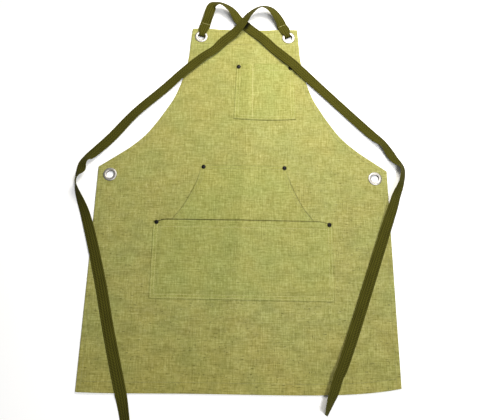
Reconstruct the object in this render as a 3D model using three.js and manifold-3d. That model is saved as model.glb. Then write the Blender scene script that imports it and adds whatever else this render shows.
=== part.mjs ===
import * as THREE from 'three';
import { mergeVertices } from 'three/addons/utils/BufferGeometryUtils.js';
import Module from 'manifold-3d';

// A bib apron of canvas with two webbing straps, lying flat with its front up.
// Millimetres. X runs across, Y from the hem to the bib, Z up from the surface that it lies on.

// Cloth
const CLOTH = 1.2; // one layer of canvas
const FOLD = 1.2; // the layer turned in behind a hem
const GAP = 0.3; // clearance between two pieces that touch
const STEP = 1.6; // run of the step where a turned-in layer ends
const PUNCH = 60; // length of the punch that cuts a hole

// Panel
const PANEL_LENGTH = 824;
const PANEL_TOP = PANEL_LENGTH / 2;
const PANEL_FOOT = -PANEL_LENGTH / 2;
const HEM_HALF = 325;
const HEM_RISE = 8; // the hem's corners lie this far above its middle
const HEM_RISE_POWER = 5;
const HEM_RISE_REACH = 160; // height over which the hem's curve fades out
const SIDE_HEM = 12;
const FOOT_HEM = 25;
const BIB_FACING = 44; // depth of the doubled cloth along the bib's top
const PANEL_COLUMNS = 18;
const SKIRT_ROWS = 13;
const BIB_ROWS = 13;
const ARMHOLE_POINTS = 120;

// Half width of the panel from the waist corner up to the bib's top edge
const ARMHOLE = [
  { y: 62, half: 319 },
  { y: 84, half: 287 },
  { y: 111, half: 250 },
  { y: 140, half: 219 },
  { y: 171, half: 196 },
  { y: 201, half: 177 },
  { y: 231, half: 160 },
  { y: 262, half: 148 },
  { y: 292, half: 139 },
  { y: 332, half: 131.5 },
  { y: 375, half: 127 },
  { y: PANEL_TOP, half: 124 },
];
const WAIST = ARMHOLE[0];

// Ridges left by folding the apron for storage, strongest on the middle of the panel
const CREASE_REACH = 230; // distance from the middle where a ridge has died out
const CREASES = [
  { along: 'y', at: -1, height: 1.0, width: 34 },
  { along: 'x', at: -266, height: 0.9, width: 30 },
  { along: 'x', at: -340, height: 0.7, width: 34 },
  { along: 'x', at: 118, height: 0.8, width: 30 },
];

// Eyelets
const EYE_HOLE = 8.4; // radius of the open hole
const EYE_RIM = 15; // radius of the front flange
const EYE_WALL = 0.7;
const EYE_DOME = 1.3; // height of the flange
const EYE_CHAMFER = 0.4; // on the barrel's rolled end
const EYE_LIP = 0.6; // thickness of the edge rolled over behind the washer
const EYE_LIP_RADIUS = 11.4;
const WASHER = 0.8;
const WASHER_RADIUS = 13.8;
const WASHER_DISH = 0.15; // how much thinner each face gets towards its edge
const EYE_SIDES = 24;

// The flange's front from its edge to the hole: out is 0 at the hole and 1 at the edge, up is 1 on its crown
const EYE_CROWN = [
  { out: 0.95, up: 0.45 },
  { out: 0.7, up: 1 },
  { out: 0.33, up: 1 },
  { out: 0.1, up: 0.6 },
];
const EYES = [
  { name: 'top_left', x: -103, y: 390, lift: 4, flat: 24, reach: 58, layers: 2 },
  { name: 'top_right', x: 103, y: 390, lift: 4, flat: 24, reach: 58, layers: 2 },
  { name: 'side_left', x: -292, y: 44, lift: 1, flat: 22, reach: 75, layers: 1 },
  { name: 'side_right', x: 292, y: 44, lift: 1, flat: 22, reach: 75, layers: 1 },
];

// Pockets
const POCKET_X = 3; // the waist pockets' middle
const SEAM = 12; // width of the strip that a sewn edge holds down
const SEAM_RAMP = 5.5; // run from that strip up to the loose cloth
const HAND_POCKET_TOP = 71;
const HAND_POCKET_LIFT = 2.2; // how far the loose cloth stands off the panel
const HAND_POCKET_LIFT_AT = 12;
const HAND_POCKET_HELD_AT = -110; // below this the front pocket holds it down
const HAND_POCKET_COLUMNS = 10;
const HAND_POCKET_STEPS = 2; // sections between two rows of its outline
const FRONT_POCKET = { half: 193, mouth: -55.5, foot: -226, gape: 2.2, gapeRun: 90 };
const FRONT_POCKET_COLUMNS = 14;
const FRONT_POCKET_ROWS = 7;
const HIDDEN_MARGIN = SEAM + SEAM_RAMP + 2; // the hand pocket ends this far inside the front one
const BIB_POCKET = { x: 48.5, mouthHalf: 66.5, footHalf: 70.5, mouth: 322, foot: 182 };
const BIB_POCKET_GAPE = { most: 1.2, least: 0.5, run: 80 };
const BIB_POCKET_ROWS = 6;
const BIB_POCKET_COLUMNS = 3;
const PEN_SLOT = 20; // x of the stitching beside the pen slot
const PEN_SEAM = 3; // half width that the pen slot's stitching holds down

// Half width of the hand pocket: its top, the two open hand edges, and the part behind the front pocket
const HAND_POCKET = [
  { y: HAND_POCKET_TOP, half: 97 },
  { y: 57, half: 97 },
  { y: 29, half: 104 },
  { y: 0, half: 117 },
  { y: -29, half: 133 },
  { y: -50, half: 149 },
  { y: -80, half: 168 },
  { y: HAND_POCKET_HELD_AT, half: FRONT_POCKET.half - HIDDEN_MARGIN },
  { y: -160, half: FRONT_POCKET.half - HIDDEN_MARGIN },
  { y: FRONT_POCKET.foot + HIDDEN_MARGIN, half: FRONT_POCKET.half - HIDDEN_MARGIN },
];

// Rivets
const RIVET_CAP = 4.7;
const RIVET_DOME = 1.8;
const RIVET_SHANK = 1.6;
const RIVET_BACK = 4;
const RIVET_BACK_DEPTH = 0.8;
const RIVET_HOLE = RIVET_SHANK + GAP;
const RIVET_SIDES = 14;

// The cap from its edge to its middle, as shares of its radius and height
const RIVET_CROWN = [
  { out: 1, up: 0.3 },
  { out: 0.72, up: 0.8 },
  { out: 0, up: 1 },
];
const RIVETS = [
  { name: 'bib_left', x: -13, y: 313, pocket: 'bib' },
  { name: 'bib_right', x: 107.5, y: 311.5, pocket: 'bib' },
  { name: 'hand_left', x: POCKET_X - 89, y: 65, pocket: 'hand' },
  { name: 'hand_right', x: POCKET_X + 90, y: 65, pocket: 'hand' },
  { name: 'front_left', x: POCKET_X - 186, y: -62.5, pocket: 'front' },
  { name: 'front_right', x: POCKET_X + 186, y: -62.5, pocket: 'front' },
];

// Straps
const WEBBING_WIDTH = 25;
const WEBBING = 1.5; // thickness
const WEBBING_STEPS = 2; // sections between two rows of a route

// A strap's end from the side: through the eyelet from behind, over its rim and past the bib's edge.
// along is measured from the eyelet's middle towards the strap.
const EYE_LOOP = [
  { along: 41, z: 4, width: WEBBING_WIDTH },
  { along: 33, z: 2.7, width: WEBBING_WIDTH },
  { along: 25, z: 2, width: WEBBING_WIDTH },
  { along: 13, z: 1, width: 19 },
  { along: 7, z: 0.95, width: 14 },
  { along: 3.2, z: 2.2, width: 13 },
  { along: 2, z: 5, width: 13 },
  { along: 3.2, z: 8.2, width: 13 },
  { along: 7, z: 9.5, width: 14 },
  { along: 15, z: 9.5, width: 21 },
  { along: 24, z: 8.4, width: WEBBING_WIDTH },
];

// The run of each strap, as it lies: z is the middle of the webbing, and bank is the angle in degrees
// by which it leans out of the flat, with its edge on the inside of the bends raised.
const STRAPS = [
  {
    name: 'strap_left',
    eye: EYES[0],
    heading: 14, // degrees from +Y towards +X where it leaves the eyelet
    inside: 1, // its bends turn to the right
    route: [
      { x: -94.5, y: 424, z: 6.7, bank: 0 },
      { x: -91.2, y: 438, z: 11.5, bank: 3 },
      { x: -86, y: 452, z: 17.5, bank: 14 },
      { x: -79, y: 462, z: 21, bank: 36 },
      { x: -69.5, y: 466.8, z: 22.5, bank: 58 },
      { x: -58, y: 466.5, z: 22.5, bank: 67 },
      { x: -46.5, y: 462.3, z: 21.5, bank: 66 },
      { x: -36, y: 455.3, z: 19.5, bank: 60 },
      { x: -25, y: 446, z: 15.5, bank: 42 },
      { x: -13, y: 435, z: 8.2, bank: 8 },
      { x: 3, y: 420.5, z: 5, bank: 2 },
      { x: 22, y: 404.5, z: 4, bank: 0 },
      { x: 44, y: 385.5, z: 4.4, bank: -3 },
      { x: 68, y: 364, z: 6, bank: -8 },
      { x: 96.5, y: 337, z: 6.2, bank: -2 },
      { x: 114, y: 320.5, z: 7.2, bank: 4 },
      { x: 129, y: 306, z: 5.8, bank: 2 },
      { x: 147, y: 289.5, z: 4.3, bank: 0 },
      { x: 190, y: 248.5, z: 1.4, bank: 0 },
      { x: 240, y: 197.5, z: 1.3, bank: 0 },
      { x: 292, y: 147, z: 2.8, bank: 6 },
      { x: 313, y: 124.5, z: 6.2, bank: 24 },
      { x: 328, y: 103, z: 9.3, bank: 42 },
      { x: 350, y: 67, z: 12.8, bank: 72 },
      { x: 352, y: 49, z: 12.9, bank: 76 },
      { x: 346, y: 30, z: 12, bank: 62 },
      { x: 328, y: -11, z: 8, bank: 28 },
      { x: 316.5, y: -41, z: 5.8, bank: 11 },
      { x: 305.6, y: -76, z: 4.4, bank: 3 },
      { x: 288, y: -128, z: 3.6, bank: 0 },
      { x: 252, y: -229, z: 3.6, bank: 0 },
      { x: 217, y: -326, z: 3.6, bank: 0 },
      { x: 198, y: -374, z: 3.6, bank: 0 },
      { x: 187, y: -404, z: 4.8, bank: -3 },
      { x: 184, y: -412, z: 6.2, bank: -10 },
      { x: 180.5, y: -421, z: 8.2, bank: -32 },
      { x: 176.5, y: -434, z: 12, bank: -62 },
      { x: 171.5, y: -447, z: 13, bank: -72 },
    ],
  },
  {
    name: 'strap_right',
    eye: EYES[1],
    heading: -25,
    inside: -1, // its bends turn to the left
    route: [
      { x: 88.2, y: 421.7, z: 6.7, bank: 0 },
      { x: 81.2, y: 434, z: 11.5, bank: 5 },
      { x: 71, y: 447.5, z: 17.5, bank: 22 },
      { x: 60, y: 456.8, z: 21.5, bank: 46 },
      { x: 46, y: 461.2, z: 23, bank: 66 },
      { x: 32, y: 460.5, z: 23, bank: 72 },
      { x: 20, y: 455.3, z: 22.5, bank: 70 },
      { x: 9.5, y: 446.3, z: 20.5, bank: 60 },
      { x: 0, y: 435.5, z: 19, bank: 36 },
      { x: -11, y: 420.5, z: 15.8, bank: 5 },
      { x: -28.5, y: 402.5, z: 8.6, bank: 0 },
      { x: -50, y: 381.5, z: 5, bank: -4 },
      { x: -71, y: 361.5, z: 6, bank: -8 },
      { x: -95.5, y: 340, z: 5.2, bank: -6 },
      { x: -120, y: 318.5, z: 3.6, bank: 0 },
      { x: -141, y: 298.5, z: 3.9, bank: 0 },
      { x: -184, y: 257, z: 1.3, bank: 0 },
      { x: -249, y: 195.4, z: 1.2, bank: 0 },
      { x: -300, y: 130.5, z: 1.8, bank: 2 },
      { x: -322, y: 105, z: 4.3, bank: 14 },
      { x: -339, y: 86, z: 8.4, bank: 36 },
      { x: -350, y: 69, z: 9.2, bank: 41 },
      { x: -357, y: 50, z: 10.5, bank: 48 },
      { x: -362.5, y: 29, z: 12.8, bank: 72 },
      { x: -361.5, y: 11, z: 12.6, bank: 70 },
      { x: -348, y: -24, z: 8, bank: 32 },
      { x: -337, y: -52, z: 5.4, bank: 14 },
      { x: -324, y: -88, z: 4.6, bank: 5 },
      { x: -310, y: -139, z: 3.9, bank: 1 },
      { x: -295, y: -190, z: 3.6, bank: 0 },
      { x: -270, y: -285, z: 3.6, bank: 0 },
      { x: -245, y: -381, z: 3.6, bank: 0 },
      { x: -235.5, y: -404, z: 4.2, bank: -2 },
      { x: -233, y: -414, z: 5.2, bank: -8 },
      { x: -228.5, y: -437, z: 8.4, bank: -34 },
      { x: -222, y: -465, z: 9, bank: -40 },
      { x: -219, y: -479, z: 9, bank: -40 },
    ],
  },
];

// Finishes
const CANVAS_FINISH = { color: '#b3ad68', roughness: 0.95, metalness: 0 };
const WEBBING_FINISH = { color: '#53511d', roughness: 0.85, metalness: 0 };
const NICKEL_FINISH = { color: '#c8c8c4', roughness: 0.25, metalness: 1 };
const BLACK_FINISH = { color: '#26262a', roughness: 0.4, metalness: 0.8 };

// Small helpers
const MERGE = 1e-4; // vertices closer than this are one

const wasm = await Module();
wasm.setup();

const spread = (from, to, count) =>
  Array.from({ length: count }, (_, i) => THREE.MathUtils.lerp(from, to, (i + 1) / count));

const byHeight = (table, y) => {
  const i = table.findIndex((row, k) => k > 0 && (row.y - y) * (table[k - 1].y - y) <= 0);
  const [a, b] = [table[i - 1], table[i]];
  return THREE.MathUtils.lerp(a.half, b.half, (y - a.y) / (b.y - a.y));
};

const finish = (name, geometry, look) => {
  geometry.computeVertexNormals();
  const mesh = new THREE.Mesh(geometry, new THREE.MeshStandardMaterial(look));
  mesh.name = name;
  return mesh;
};

const toSolid = (geometry) => {
  const bare = geometry.clone();
  bare.deleteAttribute('normal');
  bare.deleteAttribute('uv');
  const merged = mergeVertices(bare, MERGE);
  return new wasm.Manifold(
    new wasm.Mesh({
      numProp: 3,
      vertProperties: new Float32Array(merged.attributes.position.array),
      triVerts: new Uint32Array(merged.index.array),
    }),
  );
};

const toGeometry = (solid) => {
  const { vertProperties, triVerts } = solid.getMesh();
  const geometry = new THREE.BufferGeometry();
  geometry.setAttribute('position', new THREE.Float32BufferAttribute(vertProperties, 3));
  geometry.setIndex(Array.from(triVerts));
  return geometry;
};

// Cuts round holes straight down through a cloth solid
const punched = (geometry, holes) => {
  let solid = toSolid(geometry);
  for (const { x, y, radius, sides } of holes) {
    const drill = new THREE.CylinderGeometry(radius, radius, PUNCH, sides);
    drill.rotateX(Math.PI / 2).translate(x, y, 0);
    solid = solid.subtract(toSolid(drill));
  }
  return toGeometry(solid);
};

// A closed layer of cloth over a grid of plan points, with its underside and its thickness
const layer = (grid, under, thickness) => {
  const rows = grid.length;
  const columns = grid[0].length;
  const positions = [];
  for (const face of ['top', 'bottom']) {
    grid.forEach((line, i) =>
      line.forEach(([x, y], j) => {
        const z = under(x, y, i, j) + (face === 'top' ? thickness(x, y, i, j) : 0);
        positions.push(x, y, z);
      }),
    );
  }
  const top = (i, j) => i * columns + j;
  const bottom = (i, j) => rows * columns + i * columns + j;
  const index = [];
  const quad = (a, b, c, d) => index.push(a, b, c, a, c, d);
  for (let i = 0; i < rows - 1; i++) {
    for (let j = 0; j < columns - 1; j++) {
      quad(top(i, j), top(i, j + 1), top(i + 1, j + 1), top(i + 1, j));
      quad(bottom(i, j), bottom(i + 1, j), bottom(i + 1, j + 1), bottom(i, j + 1));
    }
    quad(top(i, 0), top(i + 1, 0), bottom(i + 1, 0), bottom(i, 0));
    const last = columns - 1;
    quad(top(i + 1, last), top(i, last), bottom(i, last), bottom(i + 1, last));
  }
  for (let j = 0; j < columns - 1; j++) {
    quad(top(0, j + 1), top(0, j), bottom(0, j), bottom(0, j + 1));
    const last = rows - 1;
    quad(top(last, j), top(last, j + 1), bottom(last, j + 1), bottom(last, j));
  }
  const geometry = new THREE.BufferGeometry();
  geometry.setAttribute('position', new THREE.Float32BufferAttribute(positions, 3));
  geometry.setIndex(index);
  return geometry;
};

// The panel's surface
const armhole = new THREE.SplineCurve(ARMHOLE.map(({ y, half }) => new THREE.Vector2(half, y)))
  .getPoints(ARMHOLE_POINTS)
  .map((point) => ({ y: point.y, half: point.x }));
const outline = [{ y: PANEL_FOOT, half: HEM_HALF }, ...armhole];

const eyeLift = (x, y) =>
  Math.max(
    ...EYES.map((eye) => {
      const away = Math.hypot(x - eye.x, y - eye.y);
      return eye.lift * (1 - THREE.MathUtils.smoothstep(away, eye.flat, eye.reach));
    }),
  );

const creaseLift = (x, y) => {
  const fade = 1 - THREE.MathUtils.smoothstep(Math.abs(x), 0, CREASE_REACH);
  const ridges = CREASES.map(({ along, at, height, width }) => {
    const away = Math.abs((along === 'y' ? x : y) - at);
    return height * (1 - THREE.MathUtils.smoothstep(away, 0, width));
  });
  return fade * Math.max(...ridges);
};

const panelUnder = (x, y) => FOLD + eyeLift(x, y) + creaseLift(x, y);
const panelFront = (x, y) => panelUnder(x, y) + CLOTH;

const panel = () => {
  const footLine = PANEL_FOOT + FOOT_HEM;
  const facingLine = PANEL_TOP - BIB_FACING;
  const heights = [
    PANEL_FOOT,
    footLine,
    footLine + STEP,
    ...spread(footLine + STEP, WAIST.y, SKIRT_ROWS),
    ...spread(WAIST.y, facingLine - STEP, BIB_ROWS),
    facingLine,
    PANEL_TOP - BIB_FACING / 2,
    PANEL_TOP,
  ];
  const footRows = 2;
  const facingRows = 3;
  const sideColumns = 2;
  const grid = heights.map((y) => {
    const half = byHeight(outline, y);
    const slope = y > WAIST.y && y < PANEL_TOP ? byHeight(outline, y - 1) - half : 0;
    const hem = half - SIDE_HEM * Math.hypot(1, slope);
    const inner = hem - STEP;
    const across = [-half, -hem, -inner, ...spread(-inner, inner, PANEL_COLUMNS), hem, half];
    const fade = 1 - THREE.MathUtils.smoothstep(y, PANEL_FOOT, PANEL_FOOT + HEM_RISE_REACH);
    const rise = (x) => HEM_RISE * fade * Math.abs(x / half) ** HEM_RISE_POWER;
    return across.map((x) => [x, y + rise(x)]);
  });
  const rows = grid.length;
  const columns = grid[0].length;
  const doubled = (i, j) =>
    i < footRows || i >= rows - facingRows || j < sideColumns || j >= columns - sideColumns;
  const cloth = layer(
    grid,
    (x, y, i, j) => panelUnder(x, y) - (doubled(i, j) ? FOLD : 0),
    (x, y, i, j) => CLOTH + (doubled(i, j) ? FOLD : 0),
  );
  const eyeHole = EYE_HOLE + EYE_WALL + GAP;
  const holes = [
    ...EYES.map(({ x, y }) => ({ x, y, radius: eyeHole, sides: EYE_SIDES })),
    ...RIVETS.map(({ x, y }) => ({ x, y, radius: RIVET_HOLE, sides: RIVET_SIDES })),
  ];
  return finish('body_panel', punched(cloth, holes), CANVAS_FINISH);
};

// Pockets
const seamRamp = (away) => THREE.MathUtils.smoothstep(away, SEAM, SEAM + SEAM_RAMP);
const rivetHoles = (pocket) =>
  RIVETS.filter((rivet) => rivet.pocket === pocket).map(({ x, y }) => ({
    x,
    y,
    radius: RIVET_HOLE,
    sides: RIVET_SIDES,
  }));

// The hand pocket swells between its top seam and the part that the front pocket holds down
const handLift = (y) => {
  const above = THREE.MathUtils.smoothstep(y, HAND_POCKET_LIFT_AT, HAND_POCKET_TOP - SEAM);
  const below = THREE.MathUtils.smoothstep(-y, -HAND_POCKET_LIFT_AT, -HAND_POCKET_HELD_AT);
  return HAND_POCKET_LIFT * (1 - above) * (1 - below);
};
const handUnder = (x, y) => panelFront(x, y) + GAP + handLift(y);

const handPocket = () => {
  const edge = new THREE.SplineCurve(HAND_POCKET.map(({ y, half }) => new THREE.Vector2(half, y)));
  const grid = edge
    .getPoints(HAND_POCKET_STEPS * (HAND_POCKET.length - 1))
    .reverse()
    .map((point) => {
      const across = [-point.x, ...spread(-point.x, point.x, HAND_POCKET_COLUMNS)];
      return across.map((x) => [POCKET_X + x, point.y]);
    });
  const cloth = layer(grid, handUnder, () => CLOTH);
  return finish('kangaroo_pocket', punched(cloth, rivetHoles('hand')), CANVAS_FINISH);
};

// The front pocket is held down at its sides and foot, passes over the hand pocket and gapes at its mouth
const frontUnder = (x, y) => {
  const { half, mouth, foot, gape, gapeRun } = FRONT_POCKET;
  const across = Math.abs(x - POCKET_X);
  const held = Math.min(half - across, y - foot);
  const spanned = Math.max(0, 1 - (across / (half - SEAM)) ** 2);
  const opening = THREE.MathUtils.smoothstep(y, mouth - gapeRun, mouth);
  const loose = CLOTH + GAP + handLift(y) + gape * spanned * opening;
  return panelFront(x, y) + GAP + seamRamp(held) * loose;
};

const frontPocket = () => {
  const { half, mouth, foot } = FRONT_POCKET;
  const strip = half - SEAM;
  const loose = strip - SEAM_RAMP;
  const across = [-half, -strip, -loose, ...spread(-loose, loose, FRONT_POCKET_COLUMNS), strip, half];
  const heights = [foot, foot + SEAM, foot + SEAM + SEAM_RAMP];
  heights.push(...spread(foot + SEAM + SEAM_RAMP, mouth, FRONT_POCKET_ROWS));
  const grid = heights.map((y) => across.map((x) => [POCKET_X + x, y]));
  const cloth = layer(grid, frontUnder, () => CLOTH);
  return finish('front_pocket', punched(cloth, rivetHoles('front')), CANVAS_FINISH);
};

// The bib pocket is held down at its sides and foot and along the pen slot's stitching
const bibHalf = (y) => {
  const { mouth, foot, mouthHalf, footHalf } = BIB_POCKET;
  return THREE.MathUtils.mapLinear(y, foot, mouth, footHalf, mouthHalf);
};
const bibUnder = (x, y) => {
  const { x: middle, mouth, foot } = BIB_POCKET;
  const { most, least, run } = BIB_POCKET_GAPE;
  const edge = Math.min(bibHalf(y) - Math.abs(x - middle), y - foot);
  const slot = Math.abs(x - PEN_SLOT) - PEN_SEAM + SEAM;
  const opening = THREE.MathUtils.smoothstep(y, mouth - run, mouth);
  const loose = THREE.MathUtils.lerp(least, most, opening);
  return panelFront(x, y) + GAP + seamRamp(Math.min(edge, slot)) * loose;
};

const bibPocket = () => {
  const { x: middle, mouth, foot } = BIB_POCKET;
  const ramp = SEAM + SEAM_RAMP;
  const slot = PEN_SEAM + SEAM_RAMP;
  const [penLeft, penRight] = [PEN_SLOT - PEN_SEAM, PEN_SLOT + PEN_SEAM];
  const heights = [foot, foot + SEAM, foot + ramp, ...spread(foot + ramp, mouth, BIB_POCKET_ROWS)];
  const grid = heights.map((y) => {
    const left = middle - bibHalf(y);
    const right = middle + bibHalf(y);
    const narrow = [left, left + SEAM, left + ramp, PEN_SLOT - slot, penLeft];
    const wide = spread(PEN_SLOT + slot, right - ramp, BIB_POCKET_COLUMNS);
    const across = [...narrow, penRight, PEN_SLOT + slot, ...wide, right - SEAM, right];
    return across.map((x) => [x, y]);
  });
  const cloth = layer(grid, bibUnder, () => CLOTH);
  return finish('bib_pocket', punched(cloth, rivetHoles('bib')), CANVAS_FINISH);
};

// Rivets: a domed cap, a shank through the cloth and a flat back
const turned = (profile, sides) => {
  const geometry = new THREE.LatheGeometry(
    profile.map(([radius, z]) => new THREE.Vector2(radius, z)),
    sides,
  );
  return geometry.rotateX(Math.PI / 2);
};

const POCKET_UNDER = { bib: bibUnder, hand: handUnder, front: frontUnder };
const rivet = ({ name, x, y, pocket }) => {
  const seat = POCKET_UNDER[pocket](x, y) + CLOTH + GAP;
  const backTop = panelUnder(x, y) - GAP;
  const profile = [
    [0, backTop - RIVET_BACK_DEPTH],
    [RIVET_BACK, backTop - RIVET_BACK_DEPTH],
    [RIVET_BACK, backTop],
    [RIVET_SHANK, backTop],
    [RIVET_SHANK, seat],
    [RIVET_CAP, seat],
    ...RIVET_CROWN.map(({ out, up }) => [out * RIVET_CAP, seat + up * RIVET_DOME]),
  ];
  const mesh = finish(`rivet_${name}`, turned(profile, RIVET_SIDES), BLACK_FINISH);
  mesh.position.set(x, y, 0);
  return mesh;
};

// Eyelets: a domed flange and a barrel, whose end is rolled over behind a washer
const eyelet = ({ name, x, y, layers }) => {
  const front = panelFront(x, y) + GAP;
  const washerTop = panelFront(x, y) - CLOTH * layers - GAP;
  const lipTop = washerTop - WASHER - GAP;
  const lipFoot = lipTop - EYE_LIP;
  const barrel = EYE_HOLE + EYE_WALL;
  const ring = [
    [EYE_HOLE + EYE_CHAMFER, lipFoot],
    [EYE_LIP_RADIUS, lipFoot],
    [EYE_LIP_RADIUS, lipTop],
    [barrel, lipTop],
    [barrel, front],
    [EYE_RIM, front],
    ...EYE_CROWN.map(({ out, up }) => [
      THREE.MathUtils.lerp(EYE_HOLE, EYE_RIM, out),
      front + up * EYE_DOME,
    ]),
    [EYE_HOLE, front],
    [EYE_HOLE, lipFoot + EYE_CHAMFER],
    [EYE_HOLE + EYE_CHAMFER, lipFoot],
  ];
  const inner = barrel + GAP;
  const disc = [
    [inner, washerTop - WASHER],
    [WASHER_RADIUS, washerTop - WASHER + WASHER_DISH],
    [WASHER_RADIUS, washerTop - WASHER_DISH],
    [inner, washerTop],
    [inner, washerTop - WASHER],
  ];
  const eye = finish(`grommet_${name}`, turned(ring, EYE_SIDES), NICKEL_FINISH);
  const washer = finish(`washer_${name}`, turned(disc, EYE_SIDES), NICKEL_FINISH);
  eye.position.set(x, y, 0);
  washer.position.set(x, y, 0);
  return [eye, washer];
};

// Straps: a flat ribbon along its route, leaning by its bank and gathered in the eyelet
const strap = ({ name, eye, heading, inside, route }) => {
  const turn = THREE.MathUtils.degToRad(heading);
  const away = new THREE.Vector3(Math.sin(turn), Math.cos(turn), 0);
  const loop = EYE_LOOP.map(({ along, z, width }) => ({
    point: new THREE.Vector3(eye.x, eye.y, z).addScaledVector(away, along),
    width,
    bank: 0,
  }));
  const run = route.map(({ x, y, z, bank }) => ({
    point: new THREE.Vector3(x, y, z),
    width: WEBBING_WIDTH,
    bank: THREE.MathUtils.degToRad(bank),
  }));
  const rows = [...loop, ...run];
  const line = new THREE.CatmullRomCurve3(rows.map((row) => row.point));
  const up = new THREE.Vector3(0, 0, 1);
  const positions = [];
  const sections = (rows.length - 1) * WEBBING_STEPS + 1;
  for (let k = 0; k < sections; k++) {
    const place = k / WEBBING_STEPS;
    const i = Math.min(Math.floor(place), rows.length - 2);
    const part = place - i;
    const point = line.getPoint(k / (sections - 1));
    const tangent = line.getTangent(k / (sections - 1));
    const ahead = i < loop.length ? away : tangent;
    const inner = new THREE.Vector3(ahead.y, -ahead.x, 0).normalize().multiplyScalar(inside);
    const raised = up.clone().addScaledVector(tangent, -tangent.z).normalize();
    const bank = THREE.MathUtils.lerp(rows[i].bank, rows[i + 1].bank, part);
    const width = THREE.MathUtils.lerp(rows[i].width, rows[i + 1].width, part);
    const across = inner.multiplyScalar(Math.cos(bank)).addScaledVector(raised, Math.sin(bank));
    const normal = new THREE.Vector3().crossVectors(tangent, across).normalize();
    for (const [side, face] of [[1, 1], [-1, 1], [-1, -1], [1, -1]]) {
      const corner = point
        .clone()
        .addScaledVector(across, (side * width) / 2)
        .addScaledVector(normal, (face * WEBBING) / 2);
      positions.push(corner.x, corner.y, corner.z);
    }
  }
  const index = [];
  const quad = (a, b, c, d) => index.push(a, b, c, a, c, d);
  for (let k = 0; k < sections - 1; k++) {
    for (let c = 0; c < 4; c++) {
      const next = (c + 1) % 4;
      quad(4 * k + c, 4 * k + next, 4 * k + 4 + next, 4 * k + 4 + c);
    }
  }
  const end = 4 * (sections - 1);
  quad(3, 2, 1, 0);
  quad(end, end + 1, end + 2, end + 3);
  const geometry = new THREE.BufferGeometry();
  geometry.setAttribute('position', new THREE.Float32BufferAttribute(positions, 3));
  geometry.setIndex(index);
  return finish(name, geometry, WEBBING_FINISH);
};

// The apron
const group = new THREE.Group();
group.add(panel(), handPocket(), frontPocket(), bibPocket());
group.add(...EYES.flatMap(eyelet), ...RIVETS.map(rivet), ...STRAPS.map(strap));

export default group;
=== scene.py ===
import math

import bpy
import numpy as np
from bpy.props import FloatProperty, FloatVectorProperty, PointerProperty
from bpy.types import Operator, Panel, PropertyGroup
from mathutils import Matrix, Vector, noise


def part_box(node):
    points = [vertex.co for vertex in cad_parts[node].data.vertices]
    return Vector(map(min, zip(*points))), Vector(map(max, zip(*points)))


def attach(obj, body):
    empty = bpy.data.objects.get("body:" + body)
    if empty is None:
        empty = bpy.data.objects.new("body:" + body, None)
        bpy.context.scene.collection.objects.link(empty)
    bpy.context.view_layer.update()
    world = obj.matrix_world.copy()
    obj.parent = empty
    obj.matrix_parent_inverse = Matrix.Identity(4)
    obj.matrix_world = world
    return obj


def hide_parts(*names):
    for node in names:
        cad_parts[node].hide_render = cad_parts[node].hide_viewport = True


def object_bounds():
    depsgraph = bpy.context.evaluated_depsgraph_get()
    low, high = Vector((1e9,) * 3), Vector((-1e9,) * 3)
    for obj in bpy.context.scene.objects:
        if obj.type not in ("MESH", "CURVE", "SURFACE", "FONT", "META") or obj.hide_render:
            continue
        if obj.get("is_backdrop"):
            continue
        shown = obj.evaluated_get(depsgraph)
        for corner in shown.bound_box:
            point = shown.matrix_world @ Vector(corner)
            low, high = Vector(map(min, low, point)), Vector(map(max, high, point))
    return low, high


bl_info = {
    "name": "Canvas Apron",
    "version": (1, 0, 0),
    "blender": (4, 5, 0),
    "location": "View3D > Sidebar > Apron",
    "description": "A bib apron of slubbed canvas with webbing straps, lying flat with its front up",
    "category": "Add Mesh",
}

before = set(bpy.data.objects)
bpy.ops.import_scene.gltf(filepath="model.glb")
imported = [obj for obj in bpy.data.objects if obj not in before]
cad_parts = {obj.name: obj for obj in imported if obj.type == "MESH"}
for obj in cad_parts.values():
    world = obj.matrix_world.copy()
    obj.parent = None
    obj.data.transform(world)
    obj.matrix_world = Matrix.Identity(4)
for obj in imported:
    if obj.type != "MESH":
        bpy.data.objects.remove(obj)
CAD_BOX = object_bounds()

# Metres. X runs across, Y from the hem to the bib, Z up from the surface that the apron lies on.
MM = 0.001
TINY = 1e-6  # keeps a length of nothing out of a division
UP = (0, 0, 1)
DOWN = (0, 0, -1)

# Panel
PANEL_LOW, PANEL_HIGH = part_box("body_panel")
PANEL_FOOT, PANEL_TOP = PANEL_LOW.y, PANEL_HIGH.y
PANEL_COLUMNS = 132
SKIRT_ROWS = 96
BIB_ROWS = 66
SIDE_HEM = 12 * MM
FOOT_HEM = 25 * MM
BIB_FACING = 44 * MM
HEM_HALF = PANEL_HIGH.x
HEM_STEP = 0.3 * MM  # run of the step where a hem's second layer ends
HEM_RISE = 8 * MM  # the hem's corners lie this far above its middle
HEM_RISE_POWER = 5
HEM_RISE_REACH = 160 * MM  # the rise fades out this far up the skirt
HEM_SKEW = 9 * MM  # one corner lies this much higher and the other lower
HEM_SKEW_POWER = 3

# Half width of the panel from the waist corner up to the bib's top edge, as y and half in millimetres
ARMHOLE = MM * np.array([
    (62, 319),
    (84, 287),
    (111, 250),
    (140, 219),
    (171, 196),
    (201, 177),
    (231, 160),
    (262, 148),
    (292, 139),
    (332, 131.5),
    (375, 127),
    (PANEL_TOP / MM, 124),
])
WAIST_Y = ARMHOLE[0, 0]
EDGE_STEPS = 10  # places on a curved edge for each of its points
SLOPE_STEP = 1 * MM  # stretch of the edge over which its slope is measured

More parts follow.
